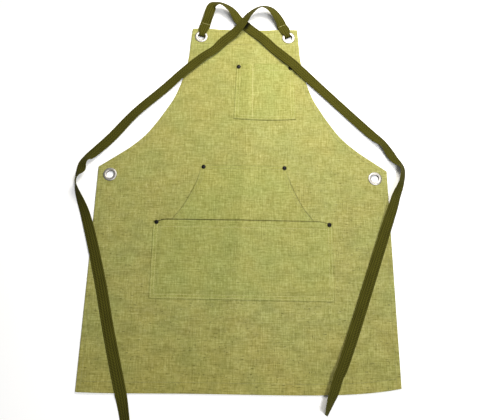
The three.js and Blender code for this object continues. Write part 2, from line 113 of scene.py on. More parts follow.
# Folds left from storing the apron, in millimetres: the axis along which each one runs, its place on the
# other axis, its slant, its height (a valley's is below zero), the width of one side, and the middle and
# reach of its run
CREASES = [
    {"along": "y", "at": 1, "slant": 0.045, "height": 2.0, "width": 45, "middle": -100, "reach": 340},
    {"along": "x", "at": -263, "slant": 0, "height": -0.9, "width": 16, "middle": -150, "reach": 170},
    {"along": "x", "at": -263, "slant": 0, "height": 1.3, "width": 60, "middle": -100, "reach": 240},
    {"along": "x", "at": -262, "slant": 0, "height": 1.0, "width": 22, "middle": 130, "reach": 120},
    {"along": "x", "at": -340, "slant": 0, "height": 0.8, "width": 30, "middle": 0, "reach": 280},
    {"along": "x", "at": -85, "slant": 0, "height": 0.9, "width": 24, "middle": -250, "reach": 70},
    {"along": "x", "at": 118, "slant": 0, "height": 1.0, "width": 26, "middle": 0, "reach": 200},
]
MIDDLE_FOLD = CREASES[0]
WAVES = [
    {"size": 150 * MM, "height": 0.9 * MM},
    {"size": 48 * MM, "height": 0.25 * MM},
]

# Stitching: its distances from an edge, and the lines of points that a folded edge needs
FOLD_LINES = [0, 0.3 * MM, 0.8 * MM, 1.4 * MM]
FOLD_THIN = 0.2  # share of the cloth's thickness that is left at a folded edge
SIDE_STITCH = 9.6 * MM
FOOT_STITCH = 21.5 * MM
TOP_STITCHES = [7 * MM, 40 * MM]
POCKET_STITCHES = [3 * MM, 9.2 * MM]
MOUTH_STITCH = 17 * MM
GROOVE = 0.9 * MM  # half width of the groove that stitching pulls into the cloth
GROOVE_DEPTH = 0.22 * MM
SEWING_STEP = 3 * MM  # between the places where a row of stitches follows the cloth
HEM_PLACES = 220  # along each row of stitches at the foot and the top
STITCH_RINGS = 5
STITCH_SIDES = 6
STITCH_SHARE = 0.84  # of its length that a stitch shows, before it dips into the cloth
STITCH_ARCH = 0.14 * MM
STITCH_TIP = 0.5  # thickness of a stitch's ends, as a share of its middle's

# Eyelets
EYE_HOLE = 8.4 * MM
EYE_RIM = 15 * MM
EYE_WALL = 0.7 * MM
EYE_DOME = 1.3 * MM
EYE_LIP = 0.9 * MM  # rounding where the barrel turns outward
EYE_CURL = 3 * MM  # width of the barrel's edge that is rolled out behind the cloth
EYE_CURL_DEPTH = 0.6 * MM
EYE_SEAT = 0.3 * MM  # clearance from an eyelet to the cloth and to its washer
EYE_SIDES = 72
PUNCH_DEPTH = 60 * MM

# The cloth round each eyelet is level as far as flat, and comes down to its usual height at reach
EYES = [
    {"name": "top_left", "flat": 24 * MM, "reach": 58 * MM},
    {"name": "top_right", "flat": 24 * MM, "reach": 58 * MM},
    {"name": "side_left", "flat": 22 * MM, "reach": 75 * MM},
    {"name": "side_right", "flat": 22 * MM, "reach": 75 * MM},
]
for eye in EYES:
    low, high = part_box("grommet_" + eye["name"])
    eye["x"], eye["y"] = (low.x + high.x) / 2, (low.y + high.y) / 2
    eye["front"] = high.z - EYE_DOME - EYE_SEAT

# Rivets
RIVET_SHANK = 1.6 * MM
RIVET_BACK = 4 * MM
RIVET_BACK_DEPTH = 0.8 * MM
RIVET_DOME = 1.8 * MM
RIVET_EDGE = 0.45 * MM
RIVET_SIDES = 48
RIVET_FLAT = 2  # the cloth is flat up to this many radii from a rivet
RIVET_REACH = 12  # and as creased and wavy as elsewhere from this many
WELD = 0.001 * MM
RIVETS = []
for name in ("bib_left", "bib_right", "hand_left", "hand_right", "front_left", "front_right"):
    low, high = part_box("rivet_" + name)
    RIVETS.append({
        "name": name,
        "x": (low.x + high.x) / 2,
        "y": (low.y + high.y) / 2,
        "top": high.z,
        "foot": low.z,
        "cap": (high.x - low.x) / 2,
    })

# All pockets
GAP = 0.1 * MM  # between a pocket and the panel
SEAM = 12 * MM  # the band of cloth that is sewn down
SEAM_RAMP = 5.5 * MM  # from the sewn band to the loose cloth
POCKET_X = 3 * MM  # middle of the hand and front pockets

# Hand pocket
HAND_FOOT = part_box("kangaroo_pocket")[0].y
HAND_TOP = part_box("kangaroo_pocket")[1].y
HAND_LIFT = 2.2 * MM
HAND_LIFT_AT = 12 * MM
HAND_HELD_AT = -110 * MM
HAND_COLUMNS = 76
HAND_ROWS = 70

# Half width of the hand pocket's top, of its open hand edges and of the part behind the front pocket, as y
# and half in millimetres
HAND_EDGE = MM * np.array([
    (HAND_TOP / MM, 97),
    (57, 97),
    (29, 104),
    (0, 117),
    (-29, 133),
    (-50, 149),
    (-80, 168),
    (HAND_HELD_AT / MM, 173.5),
    (-160, 173.5),
    (HAND_FOOT / MM, 173.5),
])

# Front pocket
FRONT_LOW, FRONT_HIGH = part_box("front_pocket")
FRONT_HALF = (FRONT_HIGH.x - FRONT_LOW.x) / 2
FRONT_MOUTH, FRONT_FOOT = FRONT_HIGH.y, FRONT_LOW.y
FRONT_GAPE = 2.2 * MM
FRONT_GAPE_RUN = 90 * MM
FRONT_CORNER_DROP = 4 * MM  # the mouth's corners are pulled down to their rivets
FRONT_CORNER_REACH = 32 * MM
FRONT_COLUMNS = 96
FRONT_ROWS = 40

# Chest pocket, with a slot for pens sewn off beside its left edge
BIB_LOW, BIB_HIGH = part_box("bib_pocket")
BIB_X = (BIB_LOW.x + BIB_HIGH.x) / 2
BIB_FOOT_HALF = (BIB_HIGH.x - BIB_LOW.x) / 2
BIB_MOUTH_HALF = BIB_FOOT_HALF - 4 * MM
BIB_MOUTH, BIB_FOOT = BIB_HIGH.y, BIB_LOW.y
BIB_GAPE = 1.2 * MM
BIB_GAPE_RUN = 80 * MM
BIB_SLACK = 0.5 * MM
BIB_SAG = 3 * MM  # its foot hangs lower in the middle
BIB_COLUMNS = 34
BIB_POCKET_ROWS = 42
PEN_SLOT = 20 * MM
PEN_SEAM = 3 * MM
PEN_COLUMNS = 6

# Painted shade along the pockets' edges, as a share of the painted shade's colour. The gap under an edge is
# finer than the picture shows, so its shade is painted on the fold beside it.
SHADE_NEAR = 1.0 * MM
SHADE_FAR = 2.6 * MM
SHADE_LINES = [2.4 * MM, 3.2 * MM]
TOP_SHADE = 0.1
HAND_SHADE_LEFT = 0.2  # less than on the right, because this edge already faces away from the light
HAND_SHADE_RIGHT = 0.5
FRONT_SHADE = 0.78
FRONT_SHADE_LEAN = 0.25  # the mouth's shade is stronger on the left
BIB_SHADE = 0.28

# Straps
WEBBING_WIDTH = 24 * MM  # a little under the solids' 25 mm, as it looks in the photograph
WEBBING_POINTS = 21  # across one face
STRAP_STEPS = 12  # rings of the webbing for each point of its route
STRAP_SEAM = 24 * MM  # from the eyelet to the line that sews the strap's end down
STRAP_SEAM_HALF = 10.5 * MM
STRAP_SEAM_PLACES = 12
GATHER = 1.8 * MM  # depth of the pleats, times the share by which the eyelet draws the webbing in
PLEATS = 2.5
SELVEDGE = 0.12  # how much thicker the woven edge is
SELVEDGE_AT = 0.9  # of the way from the middle to the edge
SELVEDGE_RUN = 0.06
EDGE_POWER = 24  # how sharply the webbing is rounded off at its edges
EDGE_THIN = 0.15

# The end that goes through the eyelet, seen from the side, as millimetres along, up and wide
EYE_LOOP = [
    (41, 4.0, 24),
    (33, 2.7, 24),
    (25, 2.0, 24),
    (13, 1.6, 19),
    (7, 1.8, 14),
    (3.2, 2.2, 13),
    (2, 5.0, 13),
    (3.2, 8.2, 13),
    (7, 9.5, 14),
    (15, 9.5, 21),
    (24, 8.4, 24),
]
LOOP_RINGS = len(EYE_LOOP) * STRAP_STEPS

# How each strap lies, with its angles in degrees: its heading as it leaves the eyelet, the side of its
# inner edge, the band of painted shadow where the other strap crosses over it, and its run, as x, y and z
# of the webbing's middle in millimetres and its lean
STRAPS = [
    {
        "name": "strap_left",
        "eye": EYES[0],
        "heading": 14,
        "inside": 1,
        # Painted shadow of the other strap, which lies over this one here
        "crossed": {"x": 3.5 * MM, "y": 422.2 * MM, "turn": 34, "long": 12 * MM, "wide": 6 * MM},
        "route": [
            (-94, 424, 6.7, 0),
            (-89, 438, 11.5, 2),
            (-79, 464, 19, 6),
            (-70, 469, 21.5, 33),
            (-58, 470, 22.3, 45),
            (-35, 457, 19, 33),
            (-14, 433, 8.2, 8),
            (3, 420, 5, 2),
            (44, 386, 5.6, 9),
            (67, 363, 5.5, 3),
            (114, 320, 8.2, 8),
            (129, 306, 6.6, 6),
            (189, 247, 3.7, 11),
            (291, 146, 3.9, 15),
            (307, 132, 5.5, 24),
            (314, 125, 6.9, 31),
            (328, 103, 5.3, 21),
            (336, 90, 5.8, 25),
            (352, 68, 9.9, 50),
            (349, 38, 10.1, 51),
            (335, 3, 7.6, 30),
            (330, -12, 7.9, 23),
            (307, -77, 5.2, 9),
            (230, -297, 5.4, 8),
            (206, -360, 8.6, 20),
            (199, -374, 9.2, 25),
            (189, -404, 10.2, 32),
            (182, -421, 9.8, 44),
            (172, -447, 12, 69),
        ],
    },
    {
        "name": "strap_right",
        "eye": EYES[1],
        "heading": -25,
        "inside": -1,
        "crossed": None,
        "route": [
            (88, 420, 8.5, 9),
            (81, 433, 13.5, 17),
            (60, 457, 21, 32),
            (37, 462, 23, 50),
            (11, 444, 21.2, 42),
            (-8, 417, 17.2, 26),
            (-26, 399, 9.6, 10),
            (-49, 380, 5.6, 5),
            (-69, 359, 6, 8),
            (-94, 339, 7, 14),
            (-119, 317, 5.7, 9),
            (-140, 297, 6.8, 14),
            (-182, 255, 3.4, 10),
            (-246, 192, 4, 13),
            (-298, 129, 2.8, 7),
            (-338, 87, 5.6, 19),
            (-347, 79, 8.2, 36),
            (-353, 69, 9, 33),
            (-356, 53, 7, 22),
            (-362, 36, 11, 60),
            (-364, 24, 12.5, 78),
            (-361, 8, 11.4, 63),
            (-336, -52, 6.6, 22),
            (-294, -190, 4.4, 4),
            (-270, -285, 4, 2),
            (-234, -414, 4, 2),
            (-230, -429, 3.4, 11),
            (-223, -456, 6.2, 25),
            (-219, -479, 6.4, 26),
        ],
    },
]

# Canvas: the size of its yarn's marks along X and Y, and how strongly they show. The yarn is about 0.7 mm
# thick, too fine for the picture, so its marks are drawn three to five times as wide and its weave nearly
# twice as coarse. The last streaks are soft, broad patches, and so are the last slubs, where dark yarn
# crowds.
STREAKS = [
    {"size": (34 * MM, 2.3 * MM), "strength": 0.40},
    {"size": (2.3 * MM, 34 * MM), "strength": 0.40},
    {"size": (9 * MM, 3.4 * MM), "strength": 0.30},
    {"size": (3.4 * MM, 9 * MM), "strength": 0.30},
    {"size": (30 * MM, 30 * MM), "strength": 0.10},
]
STREAK_ROUGHNESS = 0.6
SLUBS = [
    {"size": (10.5 * MM, 2.2 * MM), "from": 0.61, "to": 0.74, "dark": 0.74},
    {"size": (2.2 * MM, 9.5 * MM), "from": 0.63, "to": 0.76, "dark": 0.66},
    {"size": (42 * MM, 20 * MM), "from": 0.35, "to": 0.75, "dark": 0.19},
]
SLUB_ROUGHNESS = 0.55
YARN_DETAIL = 2
CANVAS_THREAD = 1.3 * MM
CANVAS_TONE = 80 * MM  # size of the warmer patches
TONE_RANGE = (0.35, 0.65)  # most of a noise lies between these
PALE_YARN = (0.75, 1.25)  # from dark yarn to pale, as shares of the canvas' brightness
PALE_STRENGTH = (1.08, 0.92)  # pale yarn is less strongly coloured
FOLD_BLEND = 4 * MM
# Painted light and shade on the two sides of the middle fold: darker on its left, lighter on its right
PAINTED_FOLD_LIGHT = (0.965, 1.035)  # brightness to the left and to the right of the middle fold
WARM_FROM = -240 * MM  # from here down to the hem the cloth turns warmer
FLECKS_LOW = (-100 * MM, 1.25)  # a height on the panel, and how strongly slubs show there
FLECKS_HIGH = (150 * MM, 0.65)
PANEL_FLECKS = 1.0
POCKET_FLECKS = 0.6  # the pockets are cut from a calmer length of the same cloth

# Sewing thread
THREAD_TWIST = 0.6 * MM
THREAD_SHADES = (0.75, 1.2)

# Webbing. Its cords are about 1.4 mm, too fine for the picture, so they are drawn nearly four times as wide.
WEBBING_CORD = 5.3 * MM
WEBBING_PICK = 5.8 * MM
WEAVE_RANGE = (-2, 2)  # lowest and highest of the cords and the twill together
WEBBING_LIGHT = (0.02, 0.82)  # from between the cords to their tops
WEBBING_WEAR = (36 * MM, 2.7 * MM)
WEBBING_WEAR_DETAIL = 4
WEBBING_WEAR_ROUGHNESS = 0.65
WEBBING_RANGE = (0.35, 1.25)

# Metal
SCRATCH = 2.5 * MM  # marks of handling, coarser than life so that they show
# Painted shade: the plating is drawn darker where its normal turns away from up
ROLLED_EDGE = (0.45, 0.92)  # upward part of the normal, on an eyelet's rolled edges and on its crown
NICKEL_ROUGHNESS = (0.42, 0.55)
METAL_MARKS = (0.3, 0.7)  # most of the marks' noise lies between these
RIVET_ROUGHNESS = (0.5, 0.36)  # smoother where it is rubbed
RIVET_RUBBED = (0.35, 0.75)
RIVET_SHADES = (0.7, 1.5)

# Sockets of a colour mix, which share their names with those for numbers
FACTOR, FIRST, SECOND, MIXED = 0, 6, 7, 2

# Stage
FLOOR_SIZE = 8.0
FLOOR_MOTTLE = 167 * MM
FLOOR_SHADES = (0.985, 1.0)
LIGHTS = [
    {
        "name": "key",
        "place": (0.2, 0.62, 0.66),
        "aim": (0.08, 0.2, 0),
        "size": (0.5, 0.5),
        "warmth": "#fffaf0",
    },
    {
        "name": "front",
        "place": (0.9, -1.1, 2.2),
        "aim": (0, 0, 0),
        "size": (0.9, 0.7),
        "warmth": "#fbfcff",
    },
]
CAMERA_PLACE = Vector((0.0017, -0.3331, 1.1255))
CAMERA_AIM = Vector((-0.0038, -0.0316, 0))
CAMERA_RIGHT = Vector((0.99983, 0.01832, 0))
SENSOR = 36  # millimetres


# Settings
def linear(code):
    """An sRGB hex colour as linear red, green and blue"""
    shares = [int(code[i : i + 2], 16) / 255 for i in (1, 3, 5)]
    return [s / 12.92 if s <= 0.04045 else ((s + 0.055) / 1.055) ** 2.4 for s in shares]


def size(name, description, default):
    """A length that the user may change, in metres"""
    return FloatProperty(
        name=name,
        description=description,
        default=default,
        unit="LENGTH",
        precision=5,
        min=0,
    )


def swatch(name, description, code):
    """A colour that the user may change, from its sRGB hex value"""
    return FloatVectorProperty(
        name=name,
        description=description,
        default=linear(code),
        subtype="COLOR",
        min=0,
        max=1,
    )


class ApronCloth(PropertyGroup):
    """The canvas and its sewing"""

    thickness: size("Cloth thickness", "Thickness of one layer of canvas", 1.2 * MM)
    thread: size("Thread", "Diameter of the sewing thread", 0.62 * MM)
    stitch: size("Stitch", "Length of one stitch", 3.4 * MM)
    colour: swatch("Canvas", "Colour of the canvas between its slubs", "#8d8e52")
    warm_colour: swatch("Warm canvas", "Colour of the canvas where its yarn is yellower", "#928e51")
    hem_tint: swatch("Hem tint", "Tint that the canvas takes on towards its hem", "#fff8ea")
    pocket_tint: swatch("Pocket tint", "Tint of the pockets' cloth, a little greener", "#fafef7")
    slub_colour: swatch("Slubs", "Colour of the dark, thick places in the yarn", "#45441d")
    # Colour of the painted shade along the pockets' edges
    painted_edge_shade_tone: swatch("Folds", "Colour of the shade along the pockets' edges", "#1d1c08")
    thread_colour: swatch("Thread colour", "Colour of the thread in the hems and the hand pocket", "#8f8d53")
    pale_thread_colour: swatch("Pale thread", "Colour of the thread in the other seams", "#c9c382")


class ApronStraps(PropertyGroup):
    """The webbing of the straps"""

    thickness: size("Webbing thickness", "Thickness of the webbing", 1.5 * MM)
    colour: swatch("Webbing", "Colour of the webbing's raised cords", "#474512")
    dark_colour: swatch("Webbing shade", "Colour between the webbing's cords", "#201e04")
    # Colour of the painted shadow that the upper strap casts on the lower one
    painted_shadow_colour: swatch("Under a crossing", "Colour of the webbing close under the other strap", "#0c0b03")


class ApronMetal(PropertyGroup):
    """The eyelets and rivets"""

    nickel_colour: swatch("Nickel", "Colour of the eyelets' plating", "#aeaba6")
    # Colour of the painted shade where the eyelets' rolled edges face sideways
    painted_rim_shade: swatch("Painted rim shade", "Colour of the plating on the eyelets' rolled edges", "#37342f")
    rivet_colour: swatch("Rivets", "Colour of the blackened rivets", "#0c0b09")


class ApronStage(PropertyGroup):
    """The floor, the light and the camera"""

    floor_colour: swatch("Floor", "Colour of the floor", "#fafaf9")
    lens: FloatProperty(
        name="Lens",
        description="Focal length of the camera, in millimetres",
        default=40.2,
        unit="CAMERA",
        min=1,
    )
    key_power: FloatProperty(
        name="Key light",
        description="Power of the soft light over the bib",
        default=11.5,
        unit="POWER",
        min=0,
    )
    front_power: FloatProperty(
        name="Front light",
        description="Power of the wide light from beyond the hem",
        default=50.0,
        unit="POWER",
        min=0,
    )
    fill: FloatProperty(
        name="Fill light",
        description="Brightness of the even light from all round",
        default=0.26,
        min=0,
    )


# Lines and surfaces
def smoothstep(value, low, high):
    """Rises smoothly from 0 at low to 1 at high"""
    share = np.clip((value - low) / (high - low), 0, 1)
    return share * share * (3 - 2 * share)


def smooth_line(points, steps, places):
    """A centripetal curve through the points, whose first places columns are coordinates"""
    points = np.asarray(points, float)
    first, last = 2 * points[0] - points[1], 2 * points[-1] - points[-2]
    points = np.vstack([first, points, last])
    line = []
    for a, b, c, d in zip(points, points[1:], points[2:], points[3:]):
        chords = [np.linalg.norm((q - p)[:places]) for p, q in ((a, b), (b, c), (c, d))]
        t1, t2, t3 = np.cumsum(np.sqrt(chords))
        t = np.linspace(t1, t2, steps, endpoint=False)[:, None]
        ab = a + (b - a) * t / t1
        bc = b + (c - b) * (t - t1) / (t2 - t1)
        cd = c + (d - c) * (t - t2) / (t3 - t2)
        abc = ab + (bc - ab) * t / t2
        bcd = bc + (cd - bc) * (t - t1) / (t3 - t1)
        line.append(abc + (bcd - abc) * (t - t1) / (t2 - t1))
    return np.vstack([*line, points[-2:-1]])


def distances(line):
    """How far each point of a line lies along it"""
    return np.concatenate([[0], np.cumsum(np.linalg.norm(np.diff(line, axis=0), axis=1))])


def unit(vectors):
    """Each row at a length of one"""
    return vectors / np.maximum(np.linalg.norm(vectors, axis=1), TINY)[:, None]


def wavy(x, y, lump):
    """Smooth noise from 0 to 1 over places, with lumps of one size"""
    flat = [noise.noise((a / lump, b / lump, 0.5)) for a, b in zip(np.ravel(x), np.ravel(y))]
    return np.clip(0.5 + 0.5 * np.reshape(flat, np.shape(x)), 0, 1)


def lines(low, high, low_lines, high_lines, count):
    """Places from low to high, with lines at distances from both ends and even ones between"""
    start, stop = low + np.asarray(low_lines), high - np.asarray(high_lines)[::-1]
    return np.concatenate([start, np.linspace(start[-1], stop[0], count + 1)[1:-1], stop])


def groove_lines(*rows):
    """Lines along the groove of each row of stitches"""
    return [row + aside for row in rows for aside in (-GROOVE, 0, GROOVE)]


def groove(distance, *rows):
    """How deep rows of stitches pull the cloth in at a distance from its edge"""
    return -GROOVE_DEPTH * sum(np.exp(-(((distance - row) / GROOVE) ** 2)) for row in rows)


def rounded(distance, radius):
    """Share of its thickness that a sheet keeps at a distance from its folded edge"""
    inside = np.clip(1 - distance / radius, 0, 1)
    return np.maximum(np.sqrt(1 - inside**2), FOLD_THIN)


PANEL_EDGE = np.vstack([[(PANEL_FOOT, HEM_HALF)], smooth_line(ARMHOLE, EDGE_STEPS, 2)])
HAND_CURVE = smooth_line(HAND_EDGE, EDGE_STEPS, 2)[::-1]


def panel_half(y):
    """Half width of the panel"""
    return np.interp(y, PANEL_EDGE[:, 0], PANEL_EDGE[:, 1])


def hand_half(y):
    """Half width of the hand pocket"""
    return np.interp(y, HAND_CURVE[:, 0], HAND_CURVE[:, 1])


def bib_half(y):
    """Half width of the chest pocket"""
    return np.interp(y, [BIB_FOOT, BIB_MOUTH], [BIB_FOOT_HALF, BIB_MOUTH_HALF])


def hem_rise(x, half, from_foot):
    """How far the hem is drawn up from a straight line: most at its corners, and unevenly"""
    across = x / half
    rise = HEM_RISE * np.abs(across) ** HEM_RISE_POWER + HEM_SKEW * across**HEM_SKEW_POWER
    return rise * (1 - smoothstep(from_foot, 0, HEM_RISE_REACH))


def crease_height(x, y):
    """Height of the folds left from storing the apron"""
    ridge = 0
    for crease in CREASES:
        at, height, width = crease["at"] * MM, crease["height"] * MM, crease["width"] * MM
        middle, reach = crease["middle"] * MM, crease["reach"] * MM
        across, along = (x, y) if crease["along"] == "y" else (y, x)
        away = np.abs(across - at - crease["slant"] * along)
        fade = 1 - smoothstep(np.abs(along - middle), 0.5 * reach, reach)
        ridge = ridge + height * fade * np.clip(1 - away / width, 0, 1) ** 2
    return ridge


def front_height(x, y):
    """Height of the panel's front: plain cloth, lifted round its eyelets, creased and a little wavy"""
    plain = 2 * bpy.context.scene.apron_cloth.thickness
    lift = 0
    calm = 1
    for eye in EYES:
        away = np.hypot(x - eye["x"], y - eye["y"])
        outside = smoothstep(away, eye["flat"], eye["reach"])
        lift = np.maximum(lift, (eye["front"] - plain) * (1 - outside))
        calm = calm * outside
    for rivet in RIVETS:
        away = np.hypot(x - rivet["x"], y - rivet["y"])
        calm = calm * smoothstep(away, RIVET_FLAT * rivet["cap"], RIVET_REACH * rivet["cap"])
    wave = sum(row["height"] * wavy(x, y, row["size"]) for row in WAVES)
    return plain + lift + calm * (crease_height(x, y) + wave)


def hand_lift(y):
    """How far the hand pocket stands off the panel, over the height of its open hand edges"""
    above = smoothstep(y, HAND_LIFT_AT, HAND_TOP - SEAM)
    below = smoothstep(-y, -HAND_LIFT_AT, -HAND_HELD_AT)
    return HAND_LIFT * (1 - above) * (1 - below)


def hand_under(x, y):
    """Height of the hand pocket's underside"""
    return front_height(x, y) + GAP + hand_lift(y)


def front_under(x, y):
    """Height of the front pocket's underside, which spans the hand pocket and gapes at its mouth"""
    across = np.abs(x - POCKET_X)
    held = np.minimum(FRONT_HALF - across, y - FRONT_FOOT)
    spanned = np.maximum(0, 1 - (across / (FRONT_HALF - SEAM)) ** 2)
    opening = smoothstep(y, FRONT_MOUTH - FRONT_GAPE_RUN, FRONT_MOUTH)
    thick = bpy.context.scene.apron_cloth.thickness
    loose = thick + GAP + hand_lift(y) + FRONT_GAPE * spanned * opening
    return front_height(x, y) + GAP + smoothstep(held, SEAM, SEAM + SEAM_RAMP) * loose


def bib_under(x, y):
    """Height of the chest pocket's underside, which is also held along its pen slot"""
    edge = np.minimum(bib_half(y) - np.abs(x - BIB_X), y - BIB_FOOT)
    slot = np.abs(x - PEN_SLOT) - PEN_SEAM + SEAM
    opening = smoothstep(y, BIB_MOUTH - BIB_GAPE_RUN, BIB_MOUTH)
    loose = BIB_SLACK + (BIB_GAPE - BIB_SLACK) * opening
    return front_height(x, y) + GAP + smoothstep(np.minimum(edge, slot), SEAM, SEAM + SEAM_RAMP) * loose


def mouth_drop(x):
    """How far the front pocket's mouth is pulled down near its corners"""
    return FRONT_CORNER_DROP * (1 - smoothstep(FRONT_HALF - np.abs(x - POCKET_X), 0, FRONT_CORNER_REACH))


def bib_sag(x, y):
    """How far the chest pocket's foot hangs below a straight line"""
    share = np.clip((x - BIB_X) / BIB_FOOT_HALF, -1, 1)
    return BIB_SAG * (1 - share**2) * (1 - smoothstep(y, BIB_FOOT, BIB_FOOT + BIB_GAPE_RUN))


def painted_shade_by_edge(distance, strength):
    """Painted shade on a fold at a distance from its edge"""
    return strength * (1 - smoothstep(distance, SHADE_NEAR, SHADE_FAR))


# Meshes
def make_piece(name, points, faces, material, shade=None):
    """A piece of the apron from its points, faces and, where it has one, the painted shade at each point"""
    mesh = bpy.data.meshes.new(name)
    mesh.from_pydata(np.asarray(points).tolist(), [], np.asarray(faces).tolist())
    if shade is not None:
        layer = mesh.attributes.new("shade", "FLOAT", "POINT")
        layer.data.foreach_set("value", np.asarray(shade, np.float32).ravel())
    mesh.materials.append(material)
    mesh.shade_smooth()
    mesh.update()
    piece = bpy.data.objects.new(name, mesh)
    bpy.context.scene.collection.objects.link(piece)
    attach(piece, "root")
    return piece


def apply_modifier(piece, modifier):
    """Makes a modifier's result the mesh of its piece"""
    with bpy.context.temp_override(object=piece, active_object=piece):
        bpy.ops.object.modifier_apply(modifier=modifier.name)


def sheet_mesh(x, y, top, bottom):
    """Points and faces of a closed sheet over a grid of places"""
    rows, columns = x.shape
    points = np.vstack([np.stack([x, y, z], 2).reshape(-1, 3) for z in (top, bottom)])
    index = np.arange(rows * columns).reshape(rows, columns)
    front = np.stack([index[:-1, :-1], index[:-1, 1:], index[1:, 1:], index[1:, :-1]], 2).reshape(-1, 4)
    back = front[:, ::-1] + rows * columns
    rim = np.concatenate([index[0], index[1:, -1], index[-1, -2::-1], index[-2:0:-1, 0]])
    after = np.roll(rim, -1)
    wall = np.stack([after, rim, rim + rows * columns, after + rows * columns], 1)
    return points, np.vstack([front, back, wall])


def turned(profile, sides):
    """Points and faces of a closed ring or solid turned about Z from its profile of radius and z"""
    profile = np.asarray(profile)
    angle = np.linspace(0, 2 * math.pi, sides, endpoint=False)
    radius, z = profile[:, :1], profile[:, 1:]
    points = np.stack([radius * np.cos(angle), radius * np.sin(angle), z + 0 * angle], 2)
    ring = np.arange(len(profile))[:, None] * sides
    following = np.roll(ring, -1, 0)
    side = np.arange(sides)
    beside = np.roll(side, -1)
    faces = np.stack([ring + side, ring + beside, following + beside, following + side], 2)
    return points.reshape(-1, 3), faces.reshape(-1, 4)


def arc(middle, radius, start, stop, count):
    """Points of an ellipse arc from one angle to another, in degrees"""
    angle = np.radians(np.linspace(start, stop, count))
    return np.stack([middle[0] + radius[0] * np.cos(angle), middle[1] + radius[1] * np.sin(angle)], 1)


# Materials
def blank_material(name):
    """A new material, its node tree and its shader"""
    material = bpy.data.materials.new(name)
    material.use_nodes = True
    tree = material.node_tree
    return material, tree, tree.nodes["Principled BSDF"]


def set_inputs(tree, node, inputs):
    """Gives each input of a node a value or a link"""
    for key, value in inputs.items():
        if isinstance(value, bpy.types.NodeSocket):
            tree.links.new(value, node.inputs[key])
        else:
            node.inputs[key].default_value = value


def add_node(tree, kind, inputs=None, **settings):
    """Adds a node with its settings, and gives each of its inputs a value or a link"""
    node = tree.nodes.new(kind)
    for key, value in settings.items():
        setattr(node, key, value)
    set_inputs(tree, node, inputs or {})
    return node


def yarn_marks(tree, place, sizes, detail, roughness):
    """Uneven marks drawn out along the yarn, one pattern for each size along X and Y"""
    marks = []
    for wide, tall in sizes:
        scale = {0: place, 1: (1 / wide, 1 / tall, 0)}
        drawn = add_node(tree, "ShaderNodeVectorMath", scale, operation="MULTIPLY").outputs["Vector"]
        uneven = {"Vector": drawn, "Scale": 1, "Detail": detail, "Roughness": roughness}
        marks.append(add_node(tree, "ShaderNodeTexNoise", uneven).outputs["Fac"])
    return marks


def canvas_yarn(tree, place):
    """Brightness of the canvas: painted light and shade on the two sides of the middle fold, and the streaks
    of its yarn
    """
    apart = add_node(tree, "ShaderNodeSeparateXYZ", {"Vector": place})
    slanted = {0: apart.outputs["Y"], 1: -MIDDLE_FOLD["slant"], 2: apart.outputs["X"]}
    from_fold = add_node(tree, "ShaderNodeMath", slanted, operation="MULTIPLY_ADD").outputs["Value"]
    # Painted light and shade: one side of the middle fold darker, the other lighter
    halves = {
        "Value": from_fold,
        "From Min": MIDDLE_FOLD["at"] * MM - FOLD_BLEND,
        "From Max": MIDDLE_FOLD["at"] * MM + FOLD_BLEND,
        "To Min": PAINTED_FOLD_LIGHT[0],
        "To Max": PAINTED_FOLD_LIGHT[1],
    }
    value = add_node(tree, "ShaderNodeMapRange", halves).outputs["Result"]
    sizes = [row["size"] for row in STREAKS]
    for row, yarn in zip(STREAKS, yarn_marks(tree, place, sizes, YARN_DETAIL, STREAK_ROUGHNESS)):
        shades = {"Value": yarn, "To Min": 1 - row["strength"], "To Max": 1 + row["strength"]}
        shade = add_node(tree, "ShaderNodeMapRange", shades).outputs["Result"]
        value = add_node(tree, "ShaderNodeMath", {0: value, 1: shade}, operation="MULTIPLY").outputs["Value"]
    return value


def canvas_colour(tree, cloth, place, value, tint):
    """Colour of the canvas between its slubs: warmer in patches and near the hem, stronger in dark yarn"""
    height = add_node(tree, "ShaderNodeSeparateXYZ", {"Vector": place}).outputs["Y"]
    patches = {"Vector": place, "Scale": 1 / CANVAS_TONE, "Detail": YARN_DETAIL, "Roughness": 0.5}
    patches = add_node(tree, "ShaderNodeTexNoise", patches).outputs["Fac"]
    warm = {"Value": patches, "From Min": TONE_RANGE[0], "From Max": TONE_RANGE[1]}
    warm = add_node(tree, "ShaderNodeMapRange", warm).outputs["Result"]
    toned = {FACTOR: warm, FIRST: (*cloth.colour, 1), SECOND: (*cloth.warm_colour, 1)}
    colour = add_node(tree, "ShaderNodeMix", toned, data_type="RGBA").outputs[MIXED]
    strength = {
        "Value": value,
        "From Min": PALE_YARN[0],
        "From Max": PALE_YARN[1],
        "To Min": PALE_STRENGTH[0],
        "To Max": PALE_STRENGTH[1],
    }
    strength = add_node(tree, "ShaderNodeMapRange", strength).outputs["Result"]
    dyed = {"Value": value, "Saturation": strength, "Color": colour}
    colour = add_node(tree, "ShaderNodeHueSaturation", dyed).outputs["Color"]
    near_hem = {"Value": height, "From Min": WARM_FROM, "From Max": PANEL_FOOT}
    near_hem = add_node(tree, "ShaderNodeMapRange", near_hem).outputs["Result"]
    tints = [(near_hem, cloth.hem_tint)]
    if tint is not None:
        tints.append((1, tint))
    for share, shade in tints:
        tinted = {FACTOR: share, FIRST: colour, SECOND: (*shade, 1)}
        tinted = add_node(tree, "ShaderNodeMix", tinted, data_type="RGBA", blend_type="MULTIPLY")
        colour = tinted.outputs[MIXED]
    return colour


